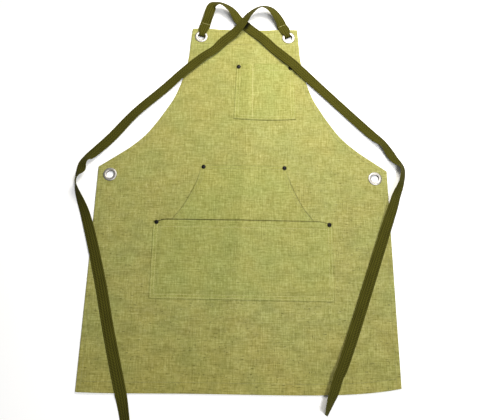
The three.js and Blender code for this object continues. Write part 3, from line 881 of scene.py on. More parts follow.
def canvas_slubs(tree, cloth, place, colour, flecks):
    """The canvas' colour with its dark slubs, which show less towards the bib"""
    height = add_node(tree, "ShaderNodeSeparateXYZ", {"Vector": place}).outputs["Y"]
    amount = {
        "Value": height,
        "From Min": FLECKS_LOW[0],
        "From Max": FLECKS_HIGH[0],
        "To Min": FLECKS_LOW[1] * flecks,
        "To Max": FLECKS_HIGH[1] * flecks,
    }
    amount = add_node(tree, "ShaderNodeMapRange", amount).outputs["Result"]
    sizes = [row["size"] for row in SLUBS]
    for row, yarn in zip(SLUBS, yarn_marks(tree, place, sizes, YARN_DETAIL, SLUB_ROUGHNESS)):
        thick = {"Value": yarn, "From Min": row["from"], "From Max": row["to"], "To Max": row["dark"]}
        thick = add_node(tree, "ShaderNodeMapRange", thick, interpolation_type="SMOOTHSTEP")
        fleck = {0: thick.outputs["Result"], 1: amount}
        fleck = add_node(tree, "ShaderNodeMath", fleck, operation="MULTIPLY").outputs["Value"]
        darker = {FACTOR: fleck, FIRST: colour, SECOND: (*cloth.slub_colour, 1)}
        colour = add_node(tree, "ShaderNodeMix", darker, data_type="RGBA").outputs[MIXED]
    return colour


def canvas_relief(tree, place, value):
    """Bump of the canvas: threads that pass over and under each other, and uneven yarn"""
    turns = {0: place, 1: (math.pi / CANVAS_THREAD,) * 3}
    turns = add_node(tree, "ShaderNodeVectorMath", turns, operation="MULTIPLY").outputs["Vector"]
    threads = add_node(tree, "ShaderNodeVectorMath", {0: turns}, operation="SINE").outputs["Vector"]
    apart = add_node(tree, "ShaderNodeSeparateXYZ", {"Vector": threads})
    over = {0: apart.outputs["X"], 1: apart.outputs["Y"]}
    over = add_node(tree, "ShaderNodeMath", over, operation="MULTIPLY").outputs["Value"]
    woven = {"Strength": 0.5, "Distance": 0.3 * MM, "Height": over}
    woven = add_node(tree, "ShaderNodeBump", woven).outputs["Normal"]
    slubby = {"Strength": 0.5, "Distance": 0.4 * MM, "Height": value, "Normal": woven}
    return add_node(tree, "ShaderNodeBump", slubby).outputs["Normal"]


def canvas_material(cloth, name, flecks, tint=None):
    """Slubbed canvas, plain woven from uneven yarn: matt, with dark flecks that follow the threads"""
    found = bpy.data.materials.get(name)
    if found:
        return found
    material, tree, shader = blank_material(name)
    place = add_node(tree, "ShaderNodeTexCoord").outputs["Object"]
    value = canvas_yarn(tree, place)
    colour = canvas_colour(tree, cloth, place, value, tint)
    colour = canvas_slubs(tree, cloth, place, colour, flecks)
    # Painted shade along the pockets' edges, from each point's shade
    shade = add_node(tree, "ShaderNodeAttribute", attribute_name="shade").outputs["Fac"]
    shaded = {FACTOR: shade, FIRST: colour, SECOND: (*cloth.painted_edge_shade_tone, 1)}
    set_inputs(tree, shader, {
        "Base Color": add_node(tree, "ShaderNodeMix", shaded, data_type="RGBA").outputs[MIXED],
        "Roughness": 0.95,
        "Specular IOR Level": 0.12,
        "Normal": canvas_relief(tree, place, value),
    })
    return material


def thread_material(name, colour):
    """Twisted cotton sewing thread: a fine cord with a soft lustre"""
    found = bpy.data.materials.get(name)
    if found:
        return found
    material, tree, shader = blank_material(name)
    place = add_node(tree, "ShaderNodeTexCoord").outputs["Object"]
    twist = {"Vector": place, "Scale": 1 / THREAD_TWIST, "Detail": 2}
    twist = add_node(tree, "ShaderNodeTexNoise", twist).outputs["Fac"]
    value = {"Value": twist, "To Min": THREAD_SHADES[0], "To Max": THREAD_SHADES[1]}
    value = add_node(tree, "ShaderNodeMapRange", value).outputs["Result"]
    dyed = {"Value": value, "Color": (*colour, 1)}
    set_inputs(tree, shader, {
        "Base Color": add_node(tree, "ShaderNodeHueSaturation", dyed).outputs["Color"],
        "Roughness": 0.7,
        "Sheen Weight": 0.2,
    })
    return material


def herringbone(tree, place):
    """Height of the webbing's weave: cords along it, crossed by a twill that slants to both edges"""
    apart = add_node(tree, "ShaderNodeSeparateXYZ", {"Vector": place})
    along, across = apart.outputs["X"], apart.outputs["Y"]
    turns = {0: across, 1: 2 * math.pi / WEBBING_CORD}
    turns = add_node(tree, "ShaderNodeMath", turns, operation="MULTIPLY").outputs["Value"]
    cords = add_node(tree, "ShaderNodeMath", {0: turns}, operation="COSINE").outputs["Value"]
    aside = add_node(tree, "ShaderNodeMath", {0: across}, operation="ABSOLUTE").outputs["Value"]
    slanted = add_node(tree, "ShaderNodeMath", {0: along, 1: aside}, operation="ADD").outputs["Value"]
    turns = {0: slanted, 1: 2 * math.pi / WEBBING_PICK}
    turns = add_node(tree, "ShaderNodeMath", turns, operation="MULTIPLY").outputs["Value"]
    twill = add_node(tree, "ShaderNodeMath", {0: turns}, operation="SINE").outputs["Value"]
    return add_node(tree, "ShaderNodeMath", {0: cords, 1: twill}, operation="ADD").outputs["Value"]


def webbing_material(straps):
    """Cotton webbing, tightly woven in a herringbone: matt, ribbed along its length"""
    material, tree, shader = blank_material("cotton_webbing")
    place = add_node(tree, "ShaderNodeUVMap", uv_map="run").outputs["UV"]
    woven = herringbone(tree, place)
    light = {
        "Value": woven,
        "From Min": WEAVE_RANGE[0],
        "From Max": WEAVE_RANGE[1],
        "To Min": WEBBING_LIGHT[0],
        "To Max": WEBBING_LIGHT[1],
    }
    light = add_node(tree, "ShaderNodeMapRange", light).outputs["Result"]
    worn = yarn_marks(tree, place, [WEBBING_WEAR], WEBBING_WEAR_DETAIL, WEBBING_WEAR_ROUGHNESS)[0]
    light = add_node(tree, "ShaderNodeMath", {0: light, 1: worn}, operation="ADD").outputs["Value"]
    light = {"Value": light, "From Min": WEBBING_RANGE[0], "From Max": WEBBING_RANGE[1]}
    light = add_node(tree, "ShaderNodeMapRange", light).outputs["Result"]
    dyed = {FACTOR: light, FIRST: (*straps.dark_colour, 1), SECOND: (*straps.colour, 1)}
    colour = add_node(tree, "ShaderNodeMix", dyed, data_type="RGBA").outputs[MIXED]
    # Painted shadow close under the other strap, from each point's shade
    shade = add_node(tree, "ShaderNodeAttribute", attribute_name="shade").outputs["Fac"]
    shaded = {FACTOR: shade, FIRST: colour, SECOND: (*straps.painted_shadow_colour, 1)}
    ribbed = {"Strength": 0.6, "Distance": 0.35 * MM, "Height": woven}
    set_inputs(tree, shader, {
        "Base Color": add_node(tree, "ShaderNodeMix", shaded, data_type="RGBA").outputs[MIXED],
        "Roughness": 0.92,
        "Specular IOR Level": 0.08,
        "Normal": add_node(tree, "ShaderNodeBump", ribbed).outputs["Normal"],
    })
    return material


def nickel_material(metal):
    """Nickel plate on pressed brass: bright, with fine handling marks, and painted shade on its rolled edges
    where they face sideways
    """
    material, tree, shader = blank_material("nickel_plate")
    place = add_node(tree, "ShaderNodeTexCoord").outputs["Object"]
    marks = {"Vector": place, "Scale": 1 / SCRATCH, "Detail": 5}
    marks = add_node(tree, "ShaderNodeTexNoise", marks).outputs["Fac"]
    rough = {
        "Value": marks,
        "From Min": METAL_MARKS[0],
        "From Max": METAL_MARKS[1],
        "To Min": NICKEL_ROUGHNESS[0],
        "To Max": NICKEL_ROUGHNESS[1],
    }
    # Painted shade: darker where the surface faces sideways
    facing = add_node(tree, "ShaderNodeNewGeometry").outputs["Normal"]
    upward = add_node(tree, "ShaderNodeSeparateXYZ", {"Vector": facing}).outputs["Z"]
    level = {"Value": upward, "From Min": ROLLED_EDGE[0], "From Max": ROLLED_EDGE[1]}
    level = add_node(tree, "ShaderNodeMapRange", level).outputs["Result"]
    rim_shaded_plating = {FACTOR: level, FIRST: (*metal.painted_rim_shade, 1), SECOND: (*metal.nickel_colour, 1)}
    marked = {"Strength": 0.15, "Distance": 0.1 * MM, "Height": marks}
    set_inputs(tree, shader, {
        "Base Color": add_node(tree, "ShaderNodeMix", rim_shaded_plating, data_type="RGBA").outputs[MIXED],
        "Metallic": 1,
        "Roughness": add_node(tree, "ShaderNodeMapRange", rough).outputs["Result"],
        "Normal": add_node(tree, "ShaderNodeBump", marked).outputs["Normal"],
    })
    return material


def rivet_material(metal):
    """Blackened steel, pressed and tumbled: a dark, half glossy oxide skin, paler where it is rubbed"""
    material, tree, shader = blank_material("blackened_steel")
    place = add_node(tree, "ShaderNodeTexCoord").outputs["Object"]
    rubbed = {"Vector": place, "Scale": 1 / SCRATCH, "Detail": 6}
    rubbed = add_node(tree, "ShaderNodeTexNoise", rubbed).outputs["Fac"]
    value = {
        "Value": rubbed,
        "From Min": RIVET_RUBBED[0],
        "From Max": RIVET_RUBBED[1],
        "To Min": RIVET_SHADES[0],
        "To Max": RIVET_SHADES[1],
    }
    value = add_node(tree, "ShaderNodeMapRange", value).outputs["Result"]
    blackened = {"Value": value, "Color": (*metal.rivet_colour, 1)}
    rough = {
        "Value": rubbed,
        "From Min": METAL_MARKS[0],
        "From Max": METAL_MARKS[1],
        "To Min": RIVET_ROUGHNESS[0],
        "To Max": RIVET_ROUGHNESS[1],
    }
    set_inputs(tree, shader, {
        "Base Color": add_node(tree, "ShaderNodeHueSaturation", blackened).outputs["Color"],
        "Metallic": 0,
        "Specular IOR Level": 0.12,
        "Roughness": add_node(tree, "ShaderNodeMapRange", rough).outputs["Result"],
    })
    return material


def floor_material(stage):
    """White painted board: matt and plain, with the faintest mottle"""
    material, tree, shader = blank_material("white_board")
    place = add_node(tree, "ShaderNodeTexCoord").outputs["Object"]
    mottle = {"Vector": place, "Scale": 1 / FLOOR_MOTTLE, "Detail": 3}
    mottle = add_node(tree, "ShaderNodeTexNoise", mottle).outputs["Fac"]
    value = {"Value": mottle, "To Min": FLOOR_SHADES[0], "To Max": FLOOR_SHADES[1]}
    value = add_node(tree, "ShaderNodeMapRange", value).outputs["Result"]
    painted = {"Value": value, "Color": (*stage.floor_colour, 1)}
    set_inputs(tree, shader, {
        "Base Color": add_node(tree, "ShaderNodeHueSaturation", painted).outputs["Color"],
        "Roughness": 0.9,
        "Specular IOR Level": 0.1,
    })
    return material


# Panel and pockets
def panel_grid():
    """Places of the panel's points, and each one's distance from the side, foot and top edges"""
    side = FOLD_LINES + groove_lines(SIDE_STITCH) + [SIDE_HEM, SIDE_HEM + HEM_STEP]
    foot = FOLD_LINES + groove_lines(FOOT_STITCH) + [FOOT_HEM, FOOT_HEM + HEM_STEP]
    top = FOLD_LINES + groove_lines(*TOP_STITCHES) + [BIB_FACING, BIB_FACING + HEM_STEP]
    skirt = lines(PANEL_FOOT, WAIST_Y, foot, [0], SKIRT_ROWS)
    bib = lines(WAIST_Y, PANEL_TOP, [0], top, BIB_ROWS)
    y = np.concatenate([skirt, bib[1:]])
    half = panel_half(y)
    slope = (panel_half(y + SLOPE_STEP / 2) - panel_half(y - SLOPE_STEP / 2)) / SLOPE_STEP
    stretch = np.hypot(1, np.where(y < WAIST_Y, 0, slope))
    rows = []
    for h, s in zip(half, stretch):
        edge = np.array(side) * s
        rows.append(lines(-h, h, edge, edge, PANEL_COLUMNS))
    x = np.array(rows)
    from_side = (half[:, None] - np.abs(x)) / stretch[:, None]
    from_foot = (y - PANEL_FOOT)[:, None] + 0 * x
    from_top = (PANEL_TOP - y)[:, None] + 0 * x
    return x, y[:, None] + hem_rise(x, half[:, None], from_foot), from_side, from_foot, from_top


def make_panel(cloth):
    """The cut and hemmed panel, in two layers along its hems, with its eyelet holes"""
    x, y, from_side, from_foot, from_top = panel_grid()
    slack = HEM_STEP / 2
    hemmed = from_side < SIDE_HEM + slack
    hemmed |= from_foot < FOOT_HEM + slack
    hemmed |= from_top < BIB_FACING + slack
    thick = np.where(hemmed, 2, 1) * cloth.thickness
    middle = front_height(x, y) - thick / 2
    edge = np.minimum(np.minimum(from_side, from_foot), from_top)
    keep = rounded(edge, cloth.thickness) * thick / 2
    sewn = groove(from_side, SIDE_STITCH) + groove(from_foot, FOOT_STITCH) + groove(from_top, *TOP_STITCHES)
    points, faces = sheet_mesh(x, y, middle + keep + sewn, middle - keep)
    canvas = canvas_material(cloth, "slubbed_canvas", PANEL_FLECKS)
    piece = make_piece("canvas_panel", points, faces, canvas)
    for eye in EYES:
        punch(piece, eye)
    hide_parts("body_panel")


def punch(piece, eye):
    """Cuts an eyelet's hole through the panel"""
    radius = EYE_HOLE + EYE_WALL + EYE_SEAT
    plug = [(0, -PUNCH_DEPTH), (radius, -PUNCH_DEPTH), (radius, PUNCH_DEPTH), (0, PUNCH_DEPTH)]
    points, faces = turned(plug, EYE_SIDES)
    mesh = bpy.data.meshes.new("punch")
    mesh.from_pydata((points + (eye["x"], eye["y"], 0)).tolist(), [], faces.tolist())
    mesh.validate()
    tool = bpy.data.objects.new("punch", mesh)
    bpy.context.scene.collection.objects.link(tool)
    cut = piece.modifiers.new("punch", "BOOLEAN")
    cut.operation = "DIFFERENCE"
    cut.object = tool
    before = len(piece.data.vertices)
    apply_modifier(piece, cut)
    bpy.data.objects.remove(tool)
    if len(piece.data.vertices) == before:
        raise RuntimeError("The hole of eyelet " + eye["name"] + " could not be cut")


def lay_pocket(cloth, name, node, x, y, under, edge, sewn, shade):
    """A pocket: one layer of cloth over a grid of places, above its own underside"""
    thick = cloth.thickness
    middle = under(x, y) + thick / 2
    keep = rounded(edge, thick) * thick / 2
    points, faces = sheet_mesh(x, y, middle + keep + sewn, middle - keep)
    canvas = canvas_material(cloth, "pocket_canvas", POCKET_FLECKS, cloth.pocket_tint)
    # Both faces carry the painted shade along the pocket's edges
    piece = make_piece(name, points, faces, canvas, np.stack([shade, shade]))
    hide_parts(node)


def make_hand_pocket(cloth):
    """The hand pocket, with two open hand edges"""
    side = FOLD_LINES + groove_lines(*POCKET_STITCHES)
    up = lines(HAND_FOOT, HAND_TOP, [0], side, HAND_ROWS)
    half = hand_half(up)
    x = np.array([lines(-h, h, side, side, HAND_COLUMNS) for h in half])
    y = up[:, None] + 0 * x
    from_side = half[:, None] - np.abs(x)
    from_top = HAND_TOP - y
    # Painted shade along the hand edges, weaker on the left and fading out near the top
    strength = np.where(x < 0, HAND_SHADE_LEFT, HAND_SHADE_RIGHT)
    strength = strength * smoothstep(from_top, 0, SEAM + HAND_TOP / 2)
    lay_pocket(
        cloth,
        "hand_pocket",
        "kangaroo_pocket",
        x=x + POCKET_X,
        y=y,
        under=hand_under,
        edge=np.minimum(from_side, from_top),
        sewn=groove(from_side, *POCKET_STITCHES) + groove(from_top, *POCKET_STITCHES),
        shade=np.maximum(painted_shade_by_edge(from_side, strength), painted_shade_by_edge(from_top, TOP_SHADE)),
    )


def make_front_pocket(cloth):
    """The wide front pocket, with its mouth pulled down at both corners"""
    side = FOLD_LINES + groove_lines(*POCKET_STITCHES)
    mouth = FOLD_LINES + SHADE_LINES + groove_lines(MOUTH_STITCH)
    across = lines(-FRONT_HALF, FRONT_HALF, side, side, FRONT_COLUMNS)
    up = lines(FRONT_FOOT, FRONT_MOUTH, side, mouth, FRONT_ROWS)
    x, y = np.meshgrid(across, up)
    from_side = FRONT_HALF - np.abs(x)
    from_foot = y - FRONT_FOOT
    from_mouth = FRONT_MOUTH - y
    held = np.minimum(from_side, from_foot)
    # Painted shade along the mouth, stronger on the left
    strength = FRONT_SHADE * (1 - FRONT_SHADE_LEAN * x / FRONT_HALF)
    near_mouth = smoothstep(y, FRONT_MOUTH - FRONT_CORNER_REACH, FRONT_MOUTH)
    lay_pocket(
        cloth,
        "front_patch_pocket",
        "front_pocket",
        x=x + POCKET_X,
        y=y - mouth_drop(x + POCKET_X) * near_mouth,
        under=front_under,
        edge=np.minimum(held, from_mouth),
        sewn=groove(held, *POCKET_STITCHES) + groove(from_mouth, MOUTH_STITCH),
        shade=painted_shade_by_edge(from_mouth, strength),
    )


def make_bib_pocket(cloth):
    """The chest pocket, with its pen slot and a foot that sags a little"""
    side = FOLD_LINES + groove_lines(*POCKET_STITCHES)
    mouth = FOLD_LINES + SHADE_LINES + groove_lines(MOUTH_STITCH)
    slot = [0, GROOVE, PEN_SEAM, PEN_SEAM + SEAM_RAMP / 2, PEN_SEAM + SEAM_RAMP]
    up = lines(BIB_FOOT, BIB_MOUTH, side, mouth, BIB_POCKET_ROWS)
    rows = []
    for half in bib_half(up):
        pens = lines(BIB_X - half, PEN_SLOT, side, slot, PEN_COLUMNS)
        rest = lines(PEN_SLOT, BIB_X + half, slot, side, BIB_COLUMNS)
        rows.append(np.concatenate([pens, rest[1:]]))
    x = np.array(rows)
    y = up[:, None] + 0 * x
    from_foot = y - BIB_FOOT
    from_mouth = BIB_MOUTH - y
    held = np.minimum(bib_half(y) - np.abs(x - BIB_X), from_foot)
    lay_pocket(
        cloth,
        "chest_pocket",
        "bib_pocket",
        x=x,
        y=y - bib_sag(x, y),
        under=bib_under,
        edge=np.minimum(held, from_mouth),
        sewn=groove(held, *POCKET_STITCHES) + groove(from_mouth, MOUTH_STITCH),
        # painted shade along the foot and, faintly, along the mouth
        shade=np.maximum(painted_shade_by_edge(from_foot, BIB_SHADE), painted_shade_by_edge(from_mouth, TOP_SHADE)),
    )


# Stitching
def stitch_faces():
    """Faces of one stitch: rings of sides along it, with two quads across each six-sided end"""
    faces = []
    for ring in range(STITCH_RINGS - 1):
        first, after = ring * STITCH_SIDES, (ring + 1) * STITCH_SIDES
        for side in range(STITCH_SIDES):
            beside = (side + 1) % STITCH_SIDES
            faces.append((first + side, first + beside, after + beside, after + side))
    end = (STITCH_RINGS - 1) * STITCH_SIDES
    for first, order in ((0, -1), (end, 1)):
        loop = [first + side for side in range(STITCH_SIDES)][::order]
        faces += [(loop[0], loop[1], loop[2], loop[3]), (loop[0], loop[3], loop[4], loop[5])]
    return np.array(faces)


def stitched(line, up, cloth):
    """Points and faces of a row of stitches along a line of points on the cloth"""
    line = np.asarray(line)
    run = distances(line)
    count = max(1, int(run[-1] / cloth.stitch))
    starts = (np.arange(count) + (1 - STITCH_SHARE) / 2) * run[-1] / count
    ends = starts + STITCH_SHARE * run[-1] / count
    a, b = (np.stack([np.interp(at, run, line[:, i]) for i in range(3)], 1) for at in (starts, ends))
    ahead = unit(b - a)
    aside = unit(np.cross(ahead, np.broadcast_to(np.asarray(up, float), ahead.shape)))
    lifted = np.cross(aside, ahead)
    share = np.linspace(0, 1, STITCH_RINGS)
    bow = np.sin(math.pi * share)
    radius = cloth.thread / 2 * (STITCH_TIP + (1 - STITCH_TIP) * bow)
    angle = np.linspace(0, 2 * math.pi, STITCH_SIDES, endpoint=False)
    middle = a[:, None] + (b - a)[:, None] * share[:, None] + lifted[:, None] * (STITCH_ARCH * bow)[:, None]
    ring = aside[:, None, None] * np.cos(angle)[:, None] + lifted[:, None, None] * np.sin(angle)[:, None]
    points = middle[:, :, None] + ring * radius[:, None, None]
    faces = (np.arange(count) * STITCH_RINGS * STITCH_SIDES)[:, None, None] + stitch_faces()
    return points.reshape(-1, 3), faces.reshape(-1, 4)


def sew(name, rows, cloth, thread):
    """Joins rows of stitches, each a line and its upward direction, into one piece"""
    points, faces, count = [], [], 0
    for line, up in rows:
        more, joined = stitched(line, up, cloth)
        points.append(more)
        faces.append(joined + count)
        count += len(more)
    make_piece(name, np.vstack(points), np.vstack(faces), thread)


def on_surface(x, y, height):
    """Points at places on a surface"""
    x, y = np.broadcast_arrays(x, y)
    return np.stack([x, y, height(x, y)], 1)


def spaced(low, high):
    """Even places from low to high, close enough to follow the cloth"""
    return np.linspace(low, high, max(2, int(abs(high - low) / SEWING_STEP)))


def hem_lines():
    """The places of each row of stitches along the hems and the bib's facing"""
    skirt = spaced(PANEL_FOOT + SIDE_STITCH, WAIST_Y)
    y = np.concatenate([skirt, spaced(WAIST_Y, PANEL_TOP - SIDE_STITCH)[1:]])
    slope = np.where(y < WAIST_Y, 0, np.gradient(panel_half(y), y))
    inset = panel_half(y) - SIDE_STITCH * np.hypot(1, slope)
    for side in (-1, 1):
        yield side * inset, y + hem_rise(side * inset, panel_half(y), y - PANEL_FOOT)
    across = np.linspace(-1, 1, HEM_PLACES)
    y = PANEL_FOOT + FOOT_STITCH
    x = across * (panel_half(y) - SIDE_STITCH)
    yield x, y + hem_rise(x, panel_half(y), FOOT_STITCH)
    for distance in TOP_STITCHES:
        y = PANEL_TOP - distance
        yield across * (panel_half(y) - SIDE_STITCH), y


def make_hem_stitches(cloth):
    """Stitches of the hems, on the panel's front and back"""
    rows = []
    for x, y in hem_lines():
        front = on_surface(x, y, front_height)
        rows.append((front, UP))
        rows.append((front - (0, 0, 2 * cloth.thickness), DOWN))
    sew("hem_stitching", rows, cloth, thread_material("cotton_thread", cloth.thread_colour))


def hand_lines():
    """The places of each row of stitches on the hand pocket, down to the front pocket's mouth"""
    for inset in POCKET_STITCHES:
        y = spaced(HAND_HELD_AT, HAND_TOP - inset)
        y = y[y > FRONT_MOUTH - SEAM]
        for side in (-1, 1):
            yield POCKET_X + side * (hand_half(y) - inset), y
        half = hand_half(HAND_TOP) - POCKET_STITCHES[0]
        yield POCKET_X + spaced(-half, half), HAND_TOP - inset


def front_lines():
    """The places of each row of stitches on the front pocket"""
    for inset in POCKET_STITCHES:
        half = FRONT_HALF - inset
        y = spaced(FRONT_FOOT + inset, FRONT_MOUTH - FRONT_CORNER_DROP)
        for side in (-1, 1):
            yield POCKET_X + side * half, y
        yield POCKET_X + spaced(-half, half), FRONT_FOOT + inset
    yield POCKET_X + spaced(-FRONT_HALF + SEAM, FRONT_HALF - SEAM), FRONT_MOUTH - MOUTH_STITCH


def bib_lines():
    """The places of each row of stitches on the chest pocket, with two rows at its pen slot"""
    for inset in POCKET_STITCHES:
        y = spaced(BIB_FOOT + inset, BIB_MOUTH)
        for side in (-1, 1):
            yield BIB_X + side * (bib_half(y) - inset), y
        x = BIB_X + spaced(-BIB_FOOT_HALF + inset, BIB_FOOT_HALF - inset)
        yield x, BIB_FOOT + inset - bib_sag(x, BIB_FOOT + inset)
    for aside in (-GROOVE / 2, GROOVE / 2):
        yield PEN_SLOT + aside, spaced(BIB_FOOT + POCKET_STITCHES[0], BIB_MOUTH)
    yield BIB_X + spaced(-BIB_MOUTH_HALF + SEAM, BIB_MOUTH_HALF - SEAM), BIB_MOUTH - MOUTH_STITCH


def make_pocket_stitches(cloth):
    """Stitches of the pockets, in the grooves that they pull into the cloth"""
    top = (0, 0, cloth.thickness - GROOVE_DEPTH / 2)
    tonal = thread_material("cotton_thread", cloth.thread_colour)
    pale = thread_material("pale_cotton_thread", cloth.pale_thread_colour)
    for name, places, under, thread in (
        ("hand_pocket_stitching", hand_lines(), hand_under, tonal),
        ("front_pocket_stitching", front_lines(), front_under, pale),
        ("chest_pocket_stitching", bib_lines(), bib_under, pale),
    ):
        sew(name, [(on_surface(x, y, under) + top, UP) for x, y in places], cloth, thread)


# Eyelets and rivets
def make_eyelet(eye, nickel):
    """An eyelet with a domed flange, and a barrel that is rolled out behind the cloth"""
    low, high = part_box("grommet_" + eye["name"])
    seat = high.z - EYE_DOME
    crown, half = (EYE_RIM + EYE_HOLE) / 2, (EYE_RIM - EYE_HOLE) / 2
    curl, wall = EYE_HOLE + EYE_CURL, EYE_HOLE + EYE_WALL
    profile = np.vstack([
        arc((crown, seat), (half, EYE_DOME), start=0, stop=180, count=22),
        arc((EYE_HOLE + EYE_LIP, low.z + EYE_LIP), (EYE_LIP, EYE_LIP), start=180, stop=270, count=8),
        [(curl, low.z), (curl, low.z + EYE_CURL_DEPTH), (wall, low.z + EYE_CURL_DEPTH), (wall, seat)],
    ])
    points, faces = turned(profile, EYE_SIDES)
    points = points + (eye["x"], eye["y"], 0)
    piece = make_piece("eyelet_" + eye["name"], points, faces, nickel)
    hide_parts("grommet_" + eye["name"])


def make_washer(eye, nickel):
    """The washer behind an eyelet, with rounded edges"""
    low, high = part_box("washer_" + eye["name"])
    inner, outer = EYE_HOLE + EYE_WALL + EYE_SEAT, (high.x - low.x) / 2
    middle, edge = (low.z + high.z) / 2, (high.z - low.z) / 2
    profile = np.vstack([
        arc((outer - edge, middle), (edge, edge), start=-90, stop=90, count=9),
        arc((inner + edge, middle), (edge, edge), start=90, stop=270, count=9),
    ])
    points, faces = turned(profile, EYE_SIDES)
    points = points + (eye["x"], eye["y"], 0)
    piece = make_piece("eyelet_washer_" + eye["name"], points, faces, nickel)
    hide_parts("washer_" + eye["name"])


def make_rivet(rivet, black):
    """A rivet with a domed cap, its shank and the flat cap behind the cloth"""
    seat = rivet["top"] - RIVET_DOME
    back = rivet["foot"] + RIVET_BACK_DEPTH
    rim = rivet["cap"] - RIVET_EDGE
    edge = (RIVET_EDGE, RIVET_EDGE)
    profile = np.vstack([
        [(0, rivet["foot"])],
        arc((RIVET_BACK - RIVET_EDGE, rivet["foot"] + RIVET_EDGE), edge, start=-90, stop=0, count=5),
        [(RIVET_BACK, back), (RIVET_SHANK, back), (RIVET_SHANK, seat), (rim, seat)],
        arc((rim, seat + RIVET_EDGE), edge, start=-60, stop=60, count=7),
        arc((0, seat + 2 * RIVET_EDGE), (rim, RIVET_DOME - 2 * RIVET_EDGE), start=12, stop=86, count=14),
        [(0, rivet["top"])],
    ])
    points, faces = turned(profile, RIVET_SIDES)
    points = points + (rivet["x"], rivet["y"], 0)
    piece = make_piece("rivet_cap_" + rivet["name"], points, faces, black)
    weld(piece)
    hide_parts("rivet_" + rivet["name"])


def weld(piece):
    """Merges the points that meet on a turned solid's axis"""
    merge = piece.modifiers.new("weld", "WELD")
    merge.merge_threshold = WELD
    apply_modifier(piece, merge)


# Straps
def strap_axes(strap):
    """A strap's middle line, and at each point the way across it, the way out of its face, and its width"""
    turn = math.radians(strap["heading"])
    away = np.array([math.sin(turn), math.cos(turn)])
    eye = strap["eye"]
    along, up, wide = np.array(EYE_LOOP).T * MM
    loop = [eye["x"] + along * away[0], eye["y"] + along * away[1], up, 0 * along, wide]
    *middle, lean = np.array(strap["route"], float).T
    route = [*np.multiply(middle, MM), np.radians(lean), WEBBING_WIDTH + 0 * lean]
    run = smooth_line(np.hstack([loop, route]).T, STRAP_STEPS, 3)
    line, lean, width = run[:, :3], run[:, 3:4], np.clip(run[:, 4], 0, WEBBING_WIDTH)
    tangent = unit(np.gradient(line, axis=0))
    ahead = np.where(np.arange(len(run))[:, None] < LOOP_RINGS, away, tangent[:, :2])
    inner = unit(np.stack([ahead[:, 1], -ahead[:, 0], 0 * ahead[:, 0]], 1)) * strap["inside"]
    raised = unit(np.array(UP) - tangent * tangent[:, 2:])
    across = inner * np.cos(lean) + raised * np.sin(lean)
    return line, across, unit(np.cross(tangent, across)), width


def webbing_faces(rings):
    """Faces of a closed band: quads from ring to ring, and a strip across each end"""
    around = 2 * WEBBING_POINTS
    ring = np.arange(rings - 1)[:, None] * around
    step = np.arange(around)
    following = np.roll(step, -1)
    sides = np.stack([ring + step, ring + following, ring + around + following, ring + around + step], 2)
    k = np.arange(WEBBING_POINTS - 1)
    end = np.stack([k, k + 1, around - 2 - k, around - 1 - k], 1)
    return np.vstack([sides.reshape(-1, 4), end[:, ::-1], end + (rings - 1) * around])[:, ::-1]


def make_strap(strap, straps, webbing):
    """A strap, from the end that is sewn back under it to its free end"""
    line, across, normal, width = strap_axes(strap)
    share = np.linspace(-1, 1, WEBBING_POINTS)
    edge = np.abs(share)
    pleat = GATHER * (1 - width / WEBBING_WIDTH)[:, None] * np.cos(PLEATS * math.pi * share)
    thick = straps.thickness / 2 * (1 + SELVEDGE * np.exp(-(((edge - SELVEDGE_AT) / SELVEDGE_RUN) ** 2)))
    thick = thick * np.sqrt(np.clip(1 - edge**EDGE_POWER, EDGE_THIN, 1))
    middle = line[:, None] + across[:, None] * (share[:, None] * width[:, None, None] / 2)
    front, back = (middle + normal[:, None] * (pleat + side * thick)[:, :, None] for side in (1, -1))
    points = np.concatenate([front, back[:, ::-1]], 1).reshape(-1, 3)
    # Painted shadow where the other strap crosses over this one
    shade = painted_crossing_shadow(points, strap["crossed"]) if strap["crossed"] else None
    faces = webbing_faces(len(line))
    piece = make_piece("webbing_" + strap["name"], points, faces, webbing, shade)
    lay_out(piece, line, share)
    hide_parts(strap["name"])
    float(distances(line)[-1])
    return line, across, normal


def painted_crossing_shadow(points, crossed):
    """Painted shadow on the webbing in a band close under the edge of the strap that lies over it"""
    turn = math.radians(crossed["turn"])
    x = points[:, 0] - crossed["x"]
    y = points[:, 1] - crossed["y"]
    along = (x * math.sin(turn) + y * math.cos(turn)) / crossed["long"]
    aside = (x * math.cos(turn) - y * math.sin(turn)) / crossed["wide"]
    return np.exp(-(along**4) - aside**4)


def lay_out(piece, line, share):
    """Gives the webbing a map of metres along and across it, for its weave"""
    aside = np.concatenate([share, share[::-1]]) * WEBBING_WIDTH / 2
    place = np.stack(np.broadcast_arrays(distances(line)[:, None], aside[None]), 2).reshape(-1, 2)
    corner = np.zeros(len(piece.data.loops), np.int32)
    piece.data.loops.foreach_get("vertex_index", corner)
    layer = piece.data.uv_layers.new(name="run")
    layer.uv.foreach_set("vector", place[corner].astype(np.float32).ravel())


def make_straps(straps, cloth):
    """Both straps, and the rows of stitches that sew each one's end down"""
    webbing = webbing_material(straps)
    rows = []
    for strap in STRAPS:
        line, across, normal = make_strap(strap, straps, webbing)
        away = np.linalg.norm(line - (strap["eye"]["x"], strap["eye"]["y"], 0), axis=1)
        at = LOOP_RINGS + int(np.argmin(np.abs(away[LOOP_RINGS:] - STRAP_SEAM)))
        sides = np.linspace(-STRAP_SEAM_HALF, STRAP_SEAM_HALF, STRAP_SEAM_PLACES)[:, None]
        for up in (normal[at], -normal[at]):
            rows.append((line[at] + across[at] * sides + up * straps.thickness / 2, up))
    sew("strap_stitching", rows, cloth, thread_material("pale_cotton_thread", cloth.pale_thread_colour))


